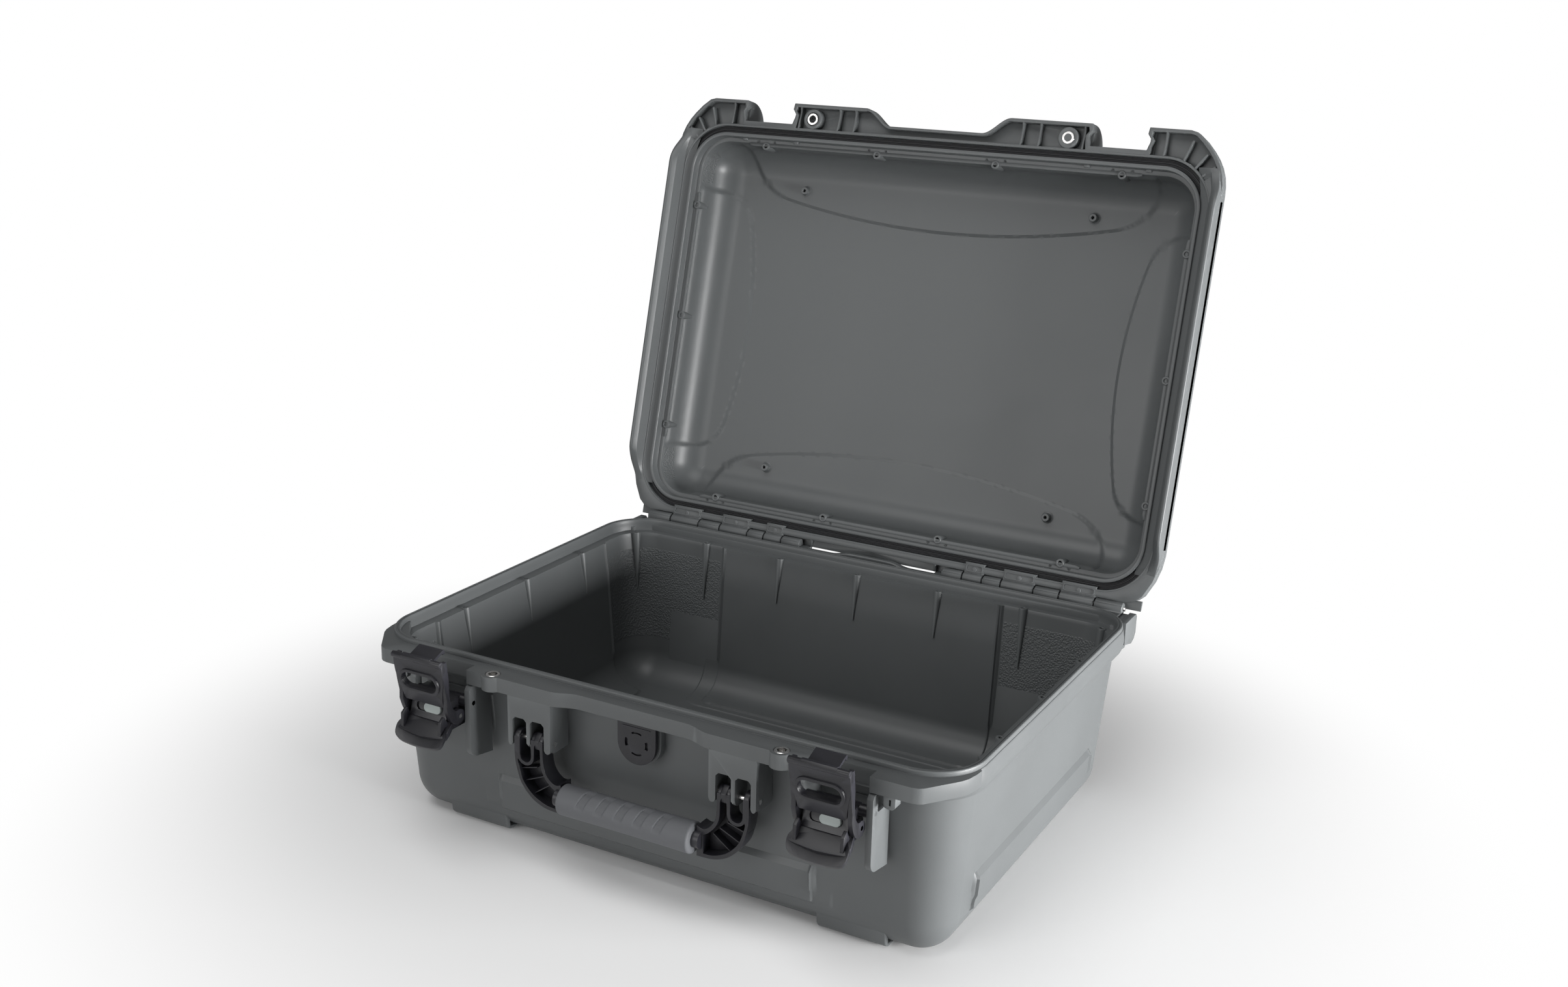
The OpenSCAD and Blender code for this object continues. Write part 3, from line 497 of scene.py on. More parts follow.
def outer_levels():
    lv = [(219.5, 145.5, 0.0, 0.0)]
    lv += [(219.5, 145.5, 30 * math.sin(a), 30 - 30 * math.cos(a)) for a in np.linspace(0.06, math.pi / 2, 16)]
    for z in np.linspace(34, 137.5, 24):
        t = (z - 30) / 125
        lv.append((219.5 + 1.5 * t, 145.5 + 1.5 * t, 30 + 8.5 * t, z))
    band = [(4.1, 138.4), (8.6, 138.6), (9.4, 138.9), (9.8, 139.8), (10.4, 142), (10.8, 144), (11, 146),
        (10.9, 149), (10.5, 151.5), (10.1, 154), (9.8, 155.6), (9.6, 156.4), (9.3, 156.9), (8.9, 157.0),
        (8.75, 157.25)]
    tongue = [(9.0, 157.6), (9.0, 159.9), (8.8, 160.5), (8.4, 160.9), (7.8, 161.0), (7.0, 161.0), (6.8, 160.8),
        (6.6, 160.55), (6.3, 160.55), (6.15, 160.8), (5.9, 160.9), (5.0, 160.9), (4.7, 160.8), (4.45, 160.4),
        (4.2, 158.0), (4.0, 156.3)]
    ledge = [(4.0, 150.6), (3.8, 150.15), (3.3, 150.0), (-3.3, 150.0), (-3.8, 149.8), (-4.0, 149.3)]
    lv += [(CX, CY, CR + out, z) for out, z in band + tongue + ledge]
    for z in np.linspace(146, 34, 36):
        t = (150 - z) / 118
        lv.append((221 - 7 * t, 147 - 7 * t, 30 - 2 * t, z))
    lv += [(214, 140, 28 * math.sin(a), 32 - 28 * math.cos(a)) for a in np.linspace(math.pi / 2, 0.06, 22)]
    lv.append((214, 140, 0.0, 4.0))
    return lv


INNER = next(i for i, lv in enumerate(outer_levels()) if i > 30 and lv[3] < 149.5)


def push_base(v, level):
    x, y, z = v.T.copy()
    ax, ay = np.abs(x), np.abs(y)
    # outside: the band stops at the fittings, and the walls are recessed between columns and feet
    outer = level < INNER - 20
    front = (y < 0) & (z > 129.3) & (z < 145.5) & (ay > HY + 4.0) & outer
    y = np.where(front, -np.minimum(ay, HY + 4.4 + 6.6 * sstep(206, 214, ax)), y)
    ay = np.abs(y)
    wall = sstep(3, 24, z) * (z < 138.5) * outer
    side = (ax - HX > ay - HY) & (ax > 225)
    column = sstep(12, 60, z) * (z < 138.5) * outer
    corner = sstep(123.4, 126.6, ay)
    x = x - np.sign(x) * np.where(side, 4.0 * wall * (1 - corner), 0)
    x = x + np.sign(x) * np.where(ax > 225, 3.4 * column * corner * sstep(225, 250, ax), 0)
    ends = ~side & (ay > 150)
    y = y - np.sign(y) * np.where(ends, 3.5 * wall * (1 - sstep(143.4, 146.6, ax)), 0)
    return np.column_stack([x, y, z])


def panels(x, y, z, normal):
    """Raised panels on the inside walls that run on into the floor, with a rib along each upright edge."""
    x, y = np.abs(x), np.abs(y)
    inside = (z > 3.9) & (z < 149.5) & (x < 253.5) & (y < 179.5) & ~((z < 4.2) & (normal[:, 2] < 0))
    inside &= (normal[:, 2] > -0.2) & (np.maximum(x - 251.5, y - 177.5) < 0)
    end = smin(144 - x, y - 129, 16)
    flank = smin(124 - y, x - 203, 16)
    d = np.maximum(end, flank)
    raised = (1.6 + 1.4 * sstep(146, 110, z)) * sstep(-0.9, 0.9, d)
    rib = np.where(y > 150, 2.6 - np.abs(x - 144.4), 0) + np.where(x > 224, 2.6 - np.abs(y - 124.4), 0)
    rib = smin(rib, (z - 33) * 0.5, 2.0)
    shelf = 1.0 * sstep(-0.9, 0.9, smin(160 - x, y - 122, 20)) * sstep(40, 26, z)
    return inside * np.maximum(raised + 1.8 * sstep(0.0, 1.6, rib), shelf)


xs = samples(210.0, 4.0, [141.6, 144.4, 147.2, 160.0, 203.0])
ys = samples(136.0, 4.0, [121.6, 124.4, 127.2, 129.0])
bm = swell(mesh_of(loft(outer_levels(), xs, ys, 22, push_base)), panels)
settle(bm, "base_tub", "base", "base", 28, stands_for=("base_shell", "base_tray"))


def circle(cx, cy, r, n=32):
    return arc(cx, cy, r, 0, 360 - 360 / n, n - 1)


eyes = [circle(s * EYELET_X, EYELET_Y, EYELET_R) for s in (1, -1)]
half = [(0, RECESS)] + ease(48, RECESS, 72, FRONT, 14) + arc(EYELET_X, EYELET_Y, 9.2, 213, 327,
    16) + [(152, FRONT), (152, BAY), (202, BAY), (202, FRONT), (234, FRONT), (238.5, -207), (242, -204.6),
    (259.5, -181), (262.4, -175), (264.4, -166), (265.2, -158), (258, -150), (250, -161), (238, -174),
    (222, -183), (0, -183)]
bm = prism(bmesh.new(), "z", 145, 157, half + flip(half[1:-1]), eyes)
lugs = ("padlock_lug_left", "padlock_lug_right")
settle(bm, "base_front_flange", "base", "hard", 32, bevel=1.4, segments=4, stands_for=lugs)


def brackets(bm):
    """Handle bracket: a front plate with two slots open downward, and the cheeks and web behind its legs."""
    legs = [(71.5, 146), (112, 146), (112, 106), (111, 103.8), (109.6, 103.2), (108.4, 103.8), (107.5, 106),
        (107.5, 125.5), (105, 128), (96.7, 128), (94.2, 125.5), (94.2, 108), (92.5, 106.4), (90.8, 108),
        (90.8, 125.5), (88.3, 128), (80, 128), (77.5, 125.5), (77.5, 106), (76.4, 104), (74.5, 103.2),
        (72.6, 104), (71.5, 106)]
    prism(bm, "y", FRONT, -203.5, legs)
    side = [(PANEL + 2, 145.5), (-204.2, 145.5)] + arc(-201.4, 109, 6, 200, 270, 8) + [(PANEL + 2, 103)]
    for x0, x1 in ((107.7, 111.8), (91.0, 94.0), (71.7, 77.3)):
        prism(bm, "x", x0, x1, side)
    prism(bm, "x", 72, 111.5, [(PANEL + 2, 129), (PANEL + 2, 145.5), (-205, 145.5), (-205, 129)])
    prism(bm, "x", 72, 111.5, [(PANEL + 2, 103.5), (PANEL + 2, 130), (-189.5, 130), (-189.5, 103.5)])


settle(both(brackets), "base_handle_brackets", "base", "hard", 32, bevel=0.7, segments=3, fused=True)


def fins(bm):
    foot = arc(-201, 92, 10, 180, 268, 10)
    shape = [(PANEL + 2, 143), (-204, 144.5), (-209, 143.5), (-211, 140.5)] + foot + [(PANEL + 2, 79)]
    window = [(-191, 128.5), (-191, 139.4), (-192, 140.4), (-202, 140.4), (-203, 139.4), (-203, 130),
        (-201.5, 128.5)]
    prism(bm, "x", 147, 152, shape)
    prism(bm, "x", 202, 207, shape, [window])
    # the small holed lug beside it
    lug = [(213, 146), (213, 138.5), (213.8, 136.3), (216, 135.4), (220, 135.4), (222, 137.5), (222, 146)]
    prism(bm, "y", -207.4, -198.4, lug, [[(217, 138), (218.6, 138), (218.6, 143), (217, 143)]])


settle(both(fins), "base_guard_fins", "base", "hard", 32, bevel=0.9, segments=3)


def feet(bm):
    for s in SIDES:
        foot = [(-165, 3), (-151, 0), (-162, 0)] + arc(-162, 9, 9, 270, 205, 8) + [(-184.6, 129), (-176, 129)]
        prism(bm, "x", 145, 203, [(-s * p[0], p[1]) for p in (foot if s < 0 else foot[::-1])])


settle(both(feet), "base_feet_panels", "base", "hard", 32, bevel=1.6, segments=3)


def knuckle(bm, x0, x1, z):
    barrel = [(0, x0), (4.8, x0), (5.4, x0 + 0.6), (5.4, x1 - 0.6), (4.8, x1), (0, x1)]
    lathe(bm, barrel, (0, HINGE_Y, z), (1, 0, 0), 36)


def hinge_base(bm):
    plate = [(185, 145), (200.7, 153), (204.7, 153.9), (203.7, 158), (201, 162.4), (198.4, 161.8), (197.9, 157),
        (197.0, 156.2), (185, 156.2)]
    for i in range(0, 8, 2):
        x0, x1 = KNUCKLES[i] + (0.5 if i else 0), KNUCKLES[i + 1] - (0.5 if i < 6 else 0)
        knuckle(bm, x0, x1, HINGE_Z)
        prism(bm, "x", x0 + 0.2, x1 - 0.2, plate)
    prism(bm, "x", 66, 76, arc(HINGE_Y - 3, ZP, 9.5, 180, 360, 16))
    prism(bm, "x", 247, 253, [(171, 127), (200.7, 124), (206.7, 129), (207.7, 151), (204.7, 154), (171, 154)])
    prism(bm, "x", 254, 260, [(176, 136), (196, 131), (203, 133.5), (206.4, 138), (206.8, 153), (204.4, 156),
        (176, 156)])
    for x in (84, 105, 124, 149, 177, 205, 236):
        prism(bm, "x", x, x + 2, [(183, 145.4), (183, 133), (190, 138), (197, 145.4)])


settle(both(hinge_base), "base_hinge", "base", "hard", 32, bevel=0.5)
bm = bmesh.new()
prism(bm, "z", 145, 156.2, [(-248, 183), (248, 183), (248, BACK), (66, BACK), (66, 191), (-66, 191),
    (-66, BACK), (-248, BACK)])
settle(bm, "base_back_flange", "base", "hard", 32, bevel=0.8)
bm = bmesh.new()
rows = []
for i in range(49):
    t = -1 + i / 24
    w = 1 - t * t
    y0, top = 194.0 + 5.2 * w, 156.6 + 3.6 * float(sstep(0.62, 0.3, abs(t)))
    section = (y0, 147), (y0, top - 1), (y0 + 0.8, top), (203.5, top), (204.3, top - 0.8), (204.3, 147)
    rows.append([bm.verts.new((67 * t, *c)) for c in section])
bridge(bm, rows)
close_ends(bm, rows)
settle(bm, "base_slot_bar", "base", "hard", 32)

# screw bosses inside the base, each a long cone that leans with its wall, with an open pilot hole
LEDGE_Z = 150
boss = turned([(0, -56), (0.5, -56), (4.1, -0.9), (3.9, 0.7), (3.5, 1.0), (2.2, 1.0), (1.8, 0.6), (1.8, -11),
    (0, -11)])
spots = [((i * 250.8, j * 87, LEDGE_Z), (i * 8.2, 0, 56), (1, 1, 0.72)) for i in SIDES for j in (-1, 0, 1)]
for i in range(-2, 3):
    y, lean, size = (175.8, 8.4, 0.78) if abs(i) < 2 else (176.8, 5.6, 1)
    spots += [((i * 82.6, j * y, LEDGE_Z), (0, j * lean, 56), (1, 1, size)) for j in SIDES if i or j > 0]
spots += [((i * 241.4, j * 167.4, LEDGE_Z), (i * 3.9, j * 3.9, 56)) for i, j in CORNERS]
repeat("base_bosses", boss, spots, "base", "hard")

# ---------------------------------------------------------------- lid shell
def lens(x, y):
    """Distance inside the four lens-shaped areas of the lid, negative outside them."""
    x, y = np.abs(x), np.abs(y)
    return np.maximum(smin(y - (112 + 0.00062 * x * x), 211 - x, 44), smin(x - (194.5 + 0.0012 * y * y),
        130 - y, 30))


def lid_levels():
    # from the outer top round the rim to the inside, heights h above the parting plane
    lv = [(223.5, 149.5, 0.0, 55.0)]
    lv += [(223.5, 149.5, 30 * math.sin(a), 25 + 30 * math.cos(a)) for a in np.linspace(0.06, math.pi / 2, 22)]
    for h in np.linspace(23, 14, 5):
        t = (25 - h) / 24
        lv.append((223.5 - 2.5 * t, 149.5 - 2.5 * t, 30 + 7.5 * t, h))
    edge = [(3.6, 13.4), (10.8, 13.2), (12.0, 12.8), (12.4, 12), (12.4, 1.2), (12.0, 0.6), (11.5, 0.4),
        (10.7, 0.4), (10.2, 0.6)]
    groove = [(10, 1.0), (10, 7.7), (3.5, 7.7), (3.5, 1.0)]
    lip = [(3.3, 0.55), (2.9, 0.4), (0.9, 0.4), (0.3, 0.6), (0, 1.0), (0, 9.9)]
    ledge = [(-0.2, 10.3), (-0.6, 10.4), (-3.4, 10.4), (-3.8, 10.6), (-4.0, 11.0)]
    lv += [(CX, CY, CR + out, h) for out, h in edge + groove + lip + ledge]
    for h in np.linspace(12, 23, 6):
        t = (h - 10.4) / 12.6
        lv.append((221 + 0.5 * t, 147 + 0.5 * t, 30 - 2 * t, h))
    lv += [(221.5, 147.5, 28 * math.sin(a), 23 + 28 * math.cos(a)) for a in np.linspace(math.pi / 2, 0.06, 26)]
    lv.append((221.5, 147.5, 0.0, 51.0))
    return lv


def snap_lens(v, level):
    """Slides the flat grid's vertices onto both edges of the step, so that it stays crisp."""
    x, y, h = v.T.copy()
    free = ((level == 0) | (level == level.max())) & (np.abs(x) < 221) & (np.abs(y) < 147)
    for edge in (-1.5, 1.5):
        d = lens(x, y)
        gx, gy = (lens(x + 0.1, y) - lens(x - 0.1, y)) / 0.2, (lens(x, y + 0.1) - lens(x, y - 0.1)) / 0.2
        k = np.where(free & (np.abs(edge - d) < 1.05), (edge - d) / np.maximum(gx * gx + gy * gy, 0.2), 0)
        x, y = x + k * gx, y + k * gy
    return np.column_stack([x, y, h])


def lens_step(x, y, h, normal):
    """The lenses stand 1.7 mm proud inside the lid and lie as deep outside."""
    step = sstep(-1.5, 1.5, lens(x, y)) * sstep(13.5, 18, h)
    inside = (np.maximum(np.abs(x) - 252.4, np.abs(y) - 178.4) < 0) & (h < 51.01)
    inside &= np.hypot(np.maximum(np.abs(x) - 221.5, 0), np.maximum(np.abs(y) - 147.5, 0)) <= 31.5
    return np.where(inside, 1.7, -1.5) * step


lxs = samples(216.0, 2.0, [])
lys = samples(142.0, 2.0, [])
bm = swell(mesh_of(loft(lid_levels(), lxs, lys, 24, snap_lens)), lens_step)
settle(bm, "lid_tub", "lid", "lid", 28, place=to_open, stands_for=("lid_shell",))


def bay(x, s):
    """Side of a latch bay in the lid, with the notch that guides the claw."""
    return [(x, LIDF), (x + 0.8 * s, -211.2), (x - 2.6 * s, -206.6), (x - 2.0 * s, -203.2),
        (x - 1.0 * s, -200.5), (x, BAY)]


front_curve = [(0, RECESS)] + ease(46, RECESS, 74, LIDF, 16)
corner = [(240, LIDF), (246, -215.5), (254, -209), (261, -201.5), (266, -195), (270, -188), (273, -180),
    (274.5, -172), (275, -163)]
outline = front_curve + bay(151, 1) + bay(203, -1)[::-1] + corner + [(275, 152), (273.5, 164), (270, 176),
    (263, 190), (258, 194.5), (248, BACK)]
mouth = [tuple(p[:2]) for p in ring(CX, CY, CR + 11.4, 0, np.array([]), np.array([]), 14)]
pocket = [(x, y + 2.6) for x, y in front_curve[1:-1]] + [(75.5, -213.8), (147.6, -213.8), (148.6, -210),
    (145.6, -206), (146, -201), (147, -193.6)]
nook = [(206.4, -193.2), (206.4, -200.5), (208.4, -206), (205.4, -210), (206, -213.8), (240, -213.8),
    (245, -212.6), (251.6, -206.8), (258.6, -199.4), (263, -193.4), (267, -186.6), (268.6, -182.4),
    (258, -174.4), (252, -181.4), (244, -187.6), (233, -191.9), (222, -193.2)]
lower = bmesh.new()
prism(lower, "z", 0.4, 9.0, outline + flip(outline)[:-1], [mouth, pocket[::-1] + [(-x, y) for x, y in pocket],
    nook, flip(nook)])
settle(lower, "lid_rim_low", "lid", "hard", 32, place=to_open, bevel=0.5)
bm = prism(bmesh.new(), "z", 8.9, 13.0, outline + flip(outline)[:-1], [mouth, *eyes])
settle(bm, "lid_rim_top", "lid", "hard", 32, place=to_open, bevel=0.5)


def pocket_ribs(bm):
    for x, y0 in ((84, -214), (101, -214), (143, -214), (217.6, -214)):
        prism(bm, "x", x, x + 1.9, [(-193, 9), (-193, 1.0), (-197, 1.2), (y0 + 6, 3.2), (y0 + 3, 3.0),
            (y0, 1.2), (y0, 9)])
    for deg, r in ((-70, 65), (-54, 62), (-42, 60)):
        c, s = math.cos(math.radians(deg)), math.sin(math.radians(deg))
        prism(bm, "z", 1.6, 9.0, [(221 + c * k - s * j, -147 + s * k + c * j) for k, j in ((45, -0.9),
            (r, -0.9), (r, 0.9), (45, 0.9))])
    lathe(bm, [(6.25, 0.8), (6.9, 0.45), (9.0, 0.45), (9.6, 1.0), (9.8, 9.5), (6.25, 9.5), (6.25, 0.8)],
        (EYELET_X, EYELET_Y, 0), (0, 0, 1), 40)


settle(both(pocket_ribs), "lid_pocket_ribs", "lid", "hard", 32, place=to_open, bevel=0.35)


def lid_fittings(bm):
    # side skirt, running out at both ends along the corner
    rows = []
    for y in np.concatenate([np.linspace(-186, -146, 11), np.linspace(130, 172, 11)]):
        w = float(sstep(-186, -150, y) * sstep(172, 134, y))
        dx = -5.5 * float(sstep(-160, -190, y)) - 4.5 * float(sstep(150, 178, y))
        rows.append([bm.verts.new((x + dx, y, 0.6 + h * w)) for x, h in ((266.4, 0), (267.9, -12.6), (271, -16),
            (273, -16.6), (274.6, -16), (275, -14.6))] + [bm.verts.new((x + dx, y, h)) for x, h in ((275, 8),
            (273, 8 + 3.5 * w), (268, 8.5 + 7 * w), (258, 9 + 8 * w), (256, 3))])
    bridge(bm, rows)
    close_ends(bm, rows)
    # lip above all the knuckles
    prism(bm, "x", 66, 262, [(195, 7.6), (203.9, 7.4), (203.9, 8.6), (202, 9.8), (195, 10.4)])
    for x in (146, 203):
        prism(bm, "x", x, x + 5, [(-179, 8), (LIDF, 8)] + arc(LIDF + 26, 13, 26, 180, 100, 14) + [(-179, 40)])
    for i in (1, 3, 5):
        x0, x1 = KNUCKLES[i] + 0.5, KNUCKLES[i + 1] - 0.5
        knuckle(bm, x0, x1, 1.4)
        prism(bm, "x", x0, x1, [(189, 0.5), (HINGE_Y - 2, 0.2), (HINGE_Y, -0.6), (HINGE_Y + 1, 6.4),
            (BACK - 2, 8.4), (189, 8.4)])
    # lip over the slot at the middle, and its end blocks
    prism(bm, "x", 0, 64, [(196.5, 3.9), (204.2, 3.9), (204.2, 6.5), (202, 8.5), (196.5, 8.5)])
    prism(bm, "x", 64, 66.4, [(192, 0.6), (197.4, 0.6), (204.4, 3.9), (204.4, 7.5), (202, 9.5), (192, 9.5)])


settle(both(lid_fittings), "lid_fittings", "lid", "hard", 32, place=to_open, bevel=0.7, segments=3)


def strips(bm):
    """Raised strips on the ledge that carry the screw bosses, with slanted ends."""
    for s in SIDES:
        long = [(-200, 178), (200, 178), (200, 175.6), (195, 174.4), (-195, 174.4), (-200, 175.6)]
        prism(bm, "z", 10.0, 12.6, [(x, s * y) for x, y in (long if s < 0 else long[::-1])])
    for s in (1, -1):
        side = [(252, -124), (252, 124), (249.8, 124), (248.6, 119), (248.6, -119), (249.8, -124)]
        prism(bm, "z", 10.0, 12.6, [(s * x, y) for x, y in side])
    return bm


settle(strips(bmesh.new()), "lid_ledge_strips", "lid", "hard", 32, place=to_open, bevel=0.5)

UP, LEDGE_H, BOSS_X = (0, 0, 1), 10.4, (60.5, 181.5)
spots = [((i * 250.6, j * 111.4, LEDGE_H), UP) for i in SIDES for j in (-1, 0, 1)]
spots += [((i * k, j * 175.0, LEDGE_H), UP) for i, j in CORNERS for k in BOSS_X]
boss = turned([(0, 19), (1.8, 18.6), (3.3, 16), (4.0, 1.0), (3.9, -0.9), (3.5, -1.3), (2.3, -1.3), (1.9, -0.9),
    (1.9, 9), (0, 9)])
repeat("lid_bosses", boss, spots, "lid", "hard", place=to_open)
peg = turned([(0, 0.4), (6.0, 0.4), (5.7, -0.9), (4.6, -1.2), (4.1, -1.6), (3.8, -6.4), (3.4, -7), (1.7, -7),
    (1.4, -6.6), (1.4, -2), (0, -2)])
spots = [((i * 149.8, j * 139.1, 50.0), UP) for i, j in CORNERS]
repeat("lid_pegs", peg, spots, "lid", "hard", place=to_open, twist=6.28)
# round marks of the mould, two beside every boss on the front and back ledge
mark = turned([(0, 0.3), (2.2, 0.3), (2.2, -0.02), (1.9, -0.12), (1.7, 0.05), (0, 0.05)], 20)
spots = [((i * k + d, j * 178.6, 10.35), UP, (0.8, 0.8, 1)) for i, j in CORNERS for k in BOSS_X for d in (-9, 9)]
repeat("lid_mould_marks", mark, spots, "lid", "hard", place=to_open, twist=6.28)


def plates(bm):
    """Rounded frame, disc and slot on the plate of each lid knuckle."""
    for i in (1, 3, 5):
        a, b = KNUCKLES[i] + 1.6, KNUCKLES[i + 1] - 1.6
        m = (a + b) / 2
        turns = (b - 2, 195.5, 0), (a + 2, 195.5, 90), (a + 2, 192.5, 180), (b - 2, 192.5, 270)
        r = [point for x, y, first in turns for point in arc(x, y, 2, first, first + 90, 4)]
        inner = [(m + (x - m) * (1 - 1.1 / (b - m)), 194 + (y - 194) * 0.68) for x, y in r]
        prism(bm, "z", -0.5, 0.7, r, [inner])
        lathe(bm, [(0, -0.4), (2.0, -0.4), (2.3, -0.1), (2.3, 0.8), (0, 0.8)], (m, 195, 0), (0, 0, 1), 24)
        # lugs each side of the slot
        for x in (m - 6.5, m + 3.5):
            prism(bm, "x", x, x + 3, [(198.6, 0.6), (198.6, -0.9), (200.2, -1.6), (201.5, -0.4), (201.5, 0.6)])


settle(both(plates), "lid_knuckle_plates", "lid", "hard", 32, place=to_open, bevel=0.25)


def slots(bm):
    for i in (1, 3, 5):
        m = (KNUCKLES[i] + KNUCKLES[i + 1]) / 2
        prism(bm, "z", 0.02, 0.5, [(m - 3.4, 198.7), (m + 3.4, 198.7), (m + 3.4, 200.6), (m - 3.4, 200.6)])


settle(both(slots), "lid_slot_shadows", "lid", "seal", 32, place=to_open)

# sealing ring with two lips
profile = [(3.6, 7.7), (3.6, 5.2), (4.1, 4.75), (4.7, 4.75), (5.2, 5.3), (5.8, 5.3), (6.3, 4.7), (7.2, 4.7),
    (7.7, 5.3), (8.3, 5.3), (8.8, 4.75), (9.4, 4.75), (9.9, 5.2), (9.9, 7.7), (3.6, 7.7)]
lv = [(CX, CY, CR + out, h) for out, h in profile]
v, f = loft(lv, np.array([-200.0, -100, 0, 100, 200]), np.array([-130.0, 0, 130]), 20, None, (False, False))
settle(mesh_of((v, f)), "lid_seal_ring", "lid", "seal", 28, place=to_open, stands_for=("lid_seal",))

# ---------------------------------------------------------------- latches
LEAN = math.radians(21)


def stadium(w, h, z, n=12):
    k = (w - h) / 2
    return arc(k, z, h / 2, -90, 90, n) + arc(-k, z, h / 2, 90, 270, n)


def smooth(pts, n=6):
    """Smooth line through points, evenly sampled between them."""
    p = [pts[0], *pts, pts[-1]]
    out = []
    for a, b, c, d in zip(p, p[1:], p[2:], p[3:]):
        for t in np.arange(n) / n:
            out.append(tuple(
                0.5 * ((2 * b[i]) + (c[i] - a[i]) * t + (2 * a[i] - 5 * b[i] + 4 * c[i] - d[i]) * t * t
                       + (3 * b[i] - a[i] - 3 * c[i] + d[i]) * t ** 3) for i in (0, 1)))
    return out + [pts[-1]]


def claw_face(z):
    """Distance of the face in front of the pivot at a height above it, slightly bowed."""
    return -10.4 + 0.155 * (z - 4) - 1.6 * math.sin(math.pi * min(max((z - 2) / 52, 0), 1))


def claw(bm):
    edge = smooth([(18.0, 15.5), (19.4, 17.5), (19.9, 22), (21.2, 29), (23.2, 37), (24, 44), (24, 54.4)])
    shape = edge + flip(edge)
    bend = lambda u, v, w: (u, claw_face(v) + w, v)
    prism(bm, "y", 0.0, 4.0, shape, [stadium(34.4, 13.4, 35.4)], bend)
    prism(bm, "y", -1.5, 3.0, stadium(39.6, 18.6, 35.4), [stadium(34.8, 13.8, 35.4)], bend)
    # rolled top edge, and the hook that runs back from just under it
    prism(bm, "x", -24, 24, arc(-2.2, 54.4, 2.6, 20, 380, 16)[:-1])
    hook = [(-3.4, 50.6), (-0.6, 52.6), (13.0, 52.6), (16.0, 52.4), (16.6, 51.8), (16.6, 49.2), (15.8, 48.6),
        (13.9, 49), (13.8, 50.4), (1.4, 50.4), (0.6, 46), (-3.0, 46)]
    prism(bm, "x", -12, 12, hook)
    prism(bm, "x", -14, 14, [(-4.6, 53.4), (-4.0, 56.8), (-2.2, 57.6), (0.2, 57.0), (0.6, 54)])
    eye_front = smooth([(3.4, -4.4), (-1, -5.6), (-6, -4.2), (-10.2, 1), (-11.6, 7), (-11.2, 16)], 4)
    face = [(claw_face(z) + 0.6, z) for z in (22, 30, 38, 46, 52)] + [(-2, 54), (4, 53)]
    back = smooth([(2.4, 46), (0.6, 38), (-2.2, 30), (-4.8, 22), (-5.4, 14), (-3, 8), (2.4, 5.4), (5, 1),
        (3.4, -4.4)], 4)[:-1]
    for s in SIDES:
        prism(bm, "x", *sorted((s * 20.4, s * 24)), eye_front + face + back)


def arrived(bm, x, y, z, turn=0.0):
    bm.transform(Matrix.Translation((x, y, z)) @ Matrix.Rotation(turn, 4, "X"))
    return bm


def lever_extra(bm):
    """Pull tab: a curved plate with rounded corners, and its side skirts."""
    rim = smooth([(21.8, 7.4), (23.6, 10.5), (24, 15), (22.8, 20), (18.6, 22.4), (10, 23.2), (0, 23.4)], 5)
    half = [(0, 0.5), (19, 0.5), (19.6, 4)] + rim
    curve = lambda u, v, w: (u, v, w + 0.02 * max(v - 6, 0) ** 2 - 0.0035 * u * u)
    prism(bm, "z", 0.0, 3.2, half + flip(half)[1:-1], (), curve)
    for s in SIDES:
        prism(bm, "x", *sorted((s * 17.4, s * 20.0)), [(2, 0.5), (14, 0.5), (15, 1.6), (7, -9), (1, -9)])


TAB = Matrix.Translation((0, -18, -12.5)) @ Matrix.Rotation(math.radians(-145.3), 4, "X")


def ridges(bm):
    """Three arc ridges on the pull tab."""
    curve = lambda u, v, w: (u, v + 1.5, w + 0.02 * max(v - 4.5, 0) ** 2 - 0.0035 * u * u)
    for k in range(3):
        r = 6.0 + 2.6 * k
        pts = [(r * math.cos(a), 1.0 + r * math.sin(a)) for a in np.linspace(math.radians(32),
            math.radians(148), 15)]
        inner = [(p[0] * (r - 0.9) / r, 1.0 + (p[1] - 1.0) * (r - 0.9) / r) for p in pts]
        prism(bm, "z", 2.4, 3.9, pts + inner[::-1], (), curve)


for name, s in (("left", -1), ("right", 1)):
    lever, at_lever = f"lever_{name}", (s * LATCH_X, LEVER_Y, LEVER_Z)
    bm = bmesh.new()
    claw(bm)
    arrived(bm, s * LATCH_X, LEVER_Y - 9, LEVER_Z - 9, LEAN)
    settle(bm, f"claw_{name}_piece", f"claw_{name}", "black", 34, None, (f"latch_claw_{name}",), 0.9, 3, 32.0,
        True)
    for build, what, bevel, segments in ((lever_extra, "tab", 0.8, 3), (ridges, "ridges", 0.25, 2)):
        bm = bmesh.new()
        build(bm)
        bm.transform(TAB)
        settle(arrived(bm, *at_lever), f"{lever}_{what}", lever, "black", 34, None, (), bevel, segments, 32.0)
    soft_copy(f"latch_lever_{name}", f"{lever}_piece", lever, "black", 0.7, 3)
    soft_copy(f"latch_lock_{name}", f"lock_{name}_piece", f"lock_{name}", "lock", 0.7, 3)

# ----------------------------------------------------------------- handle
AXLE = (HANDLE_Y, HANDLE_Z)


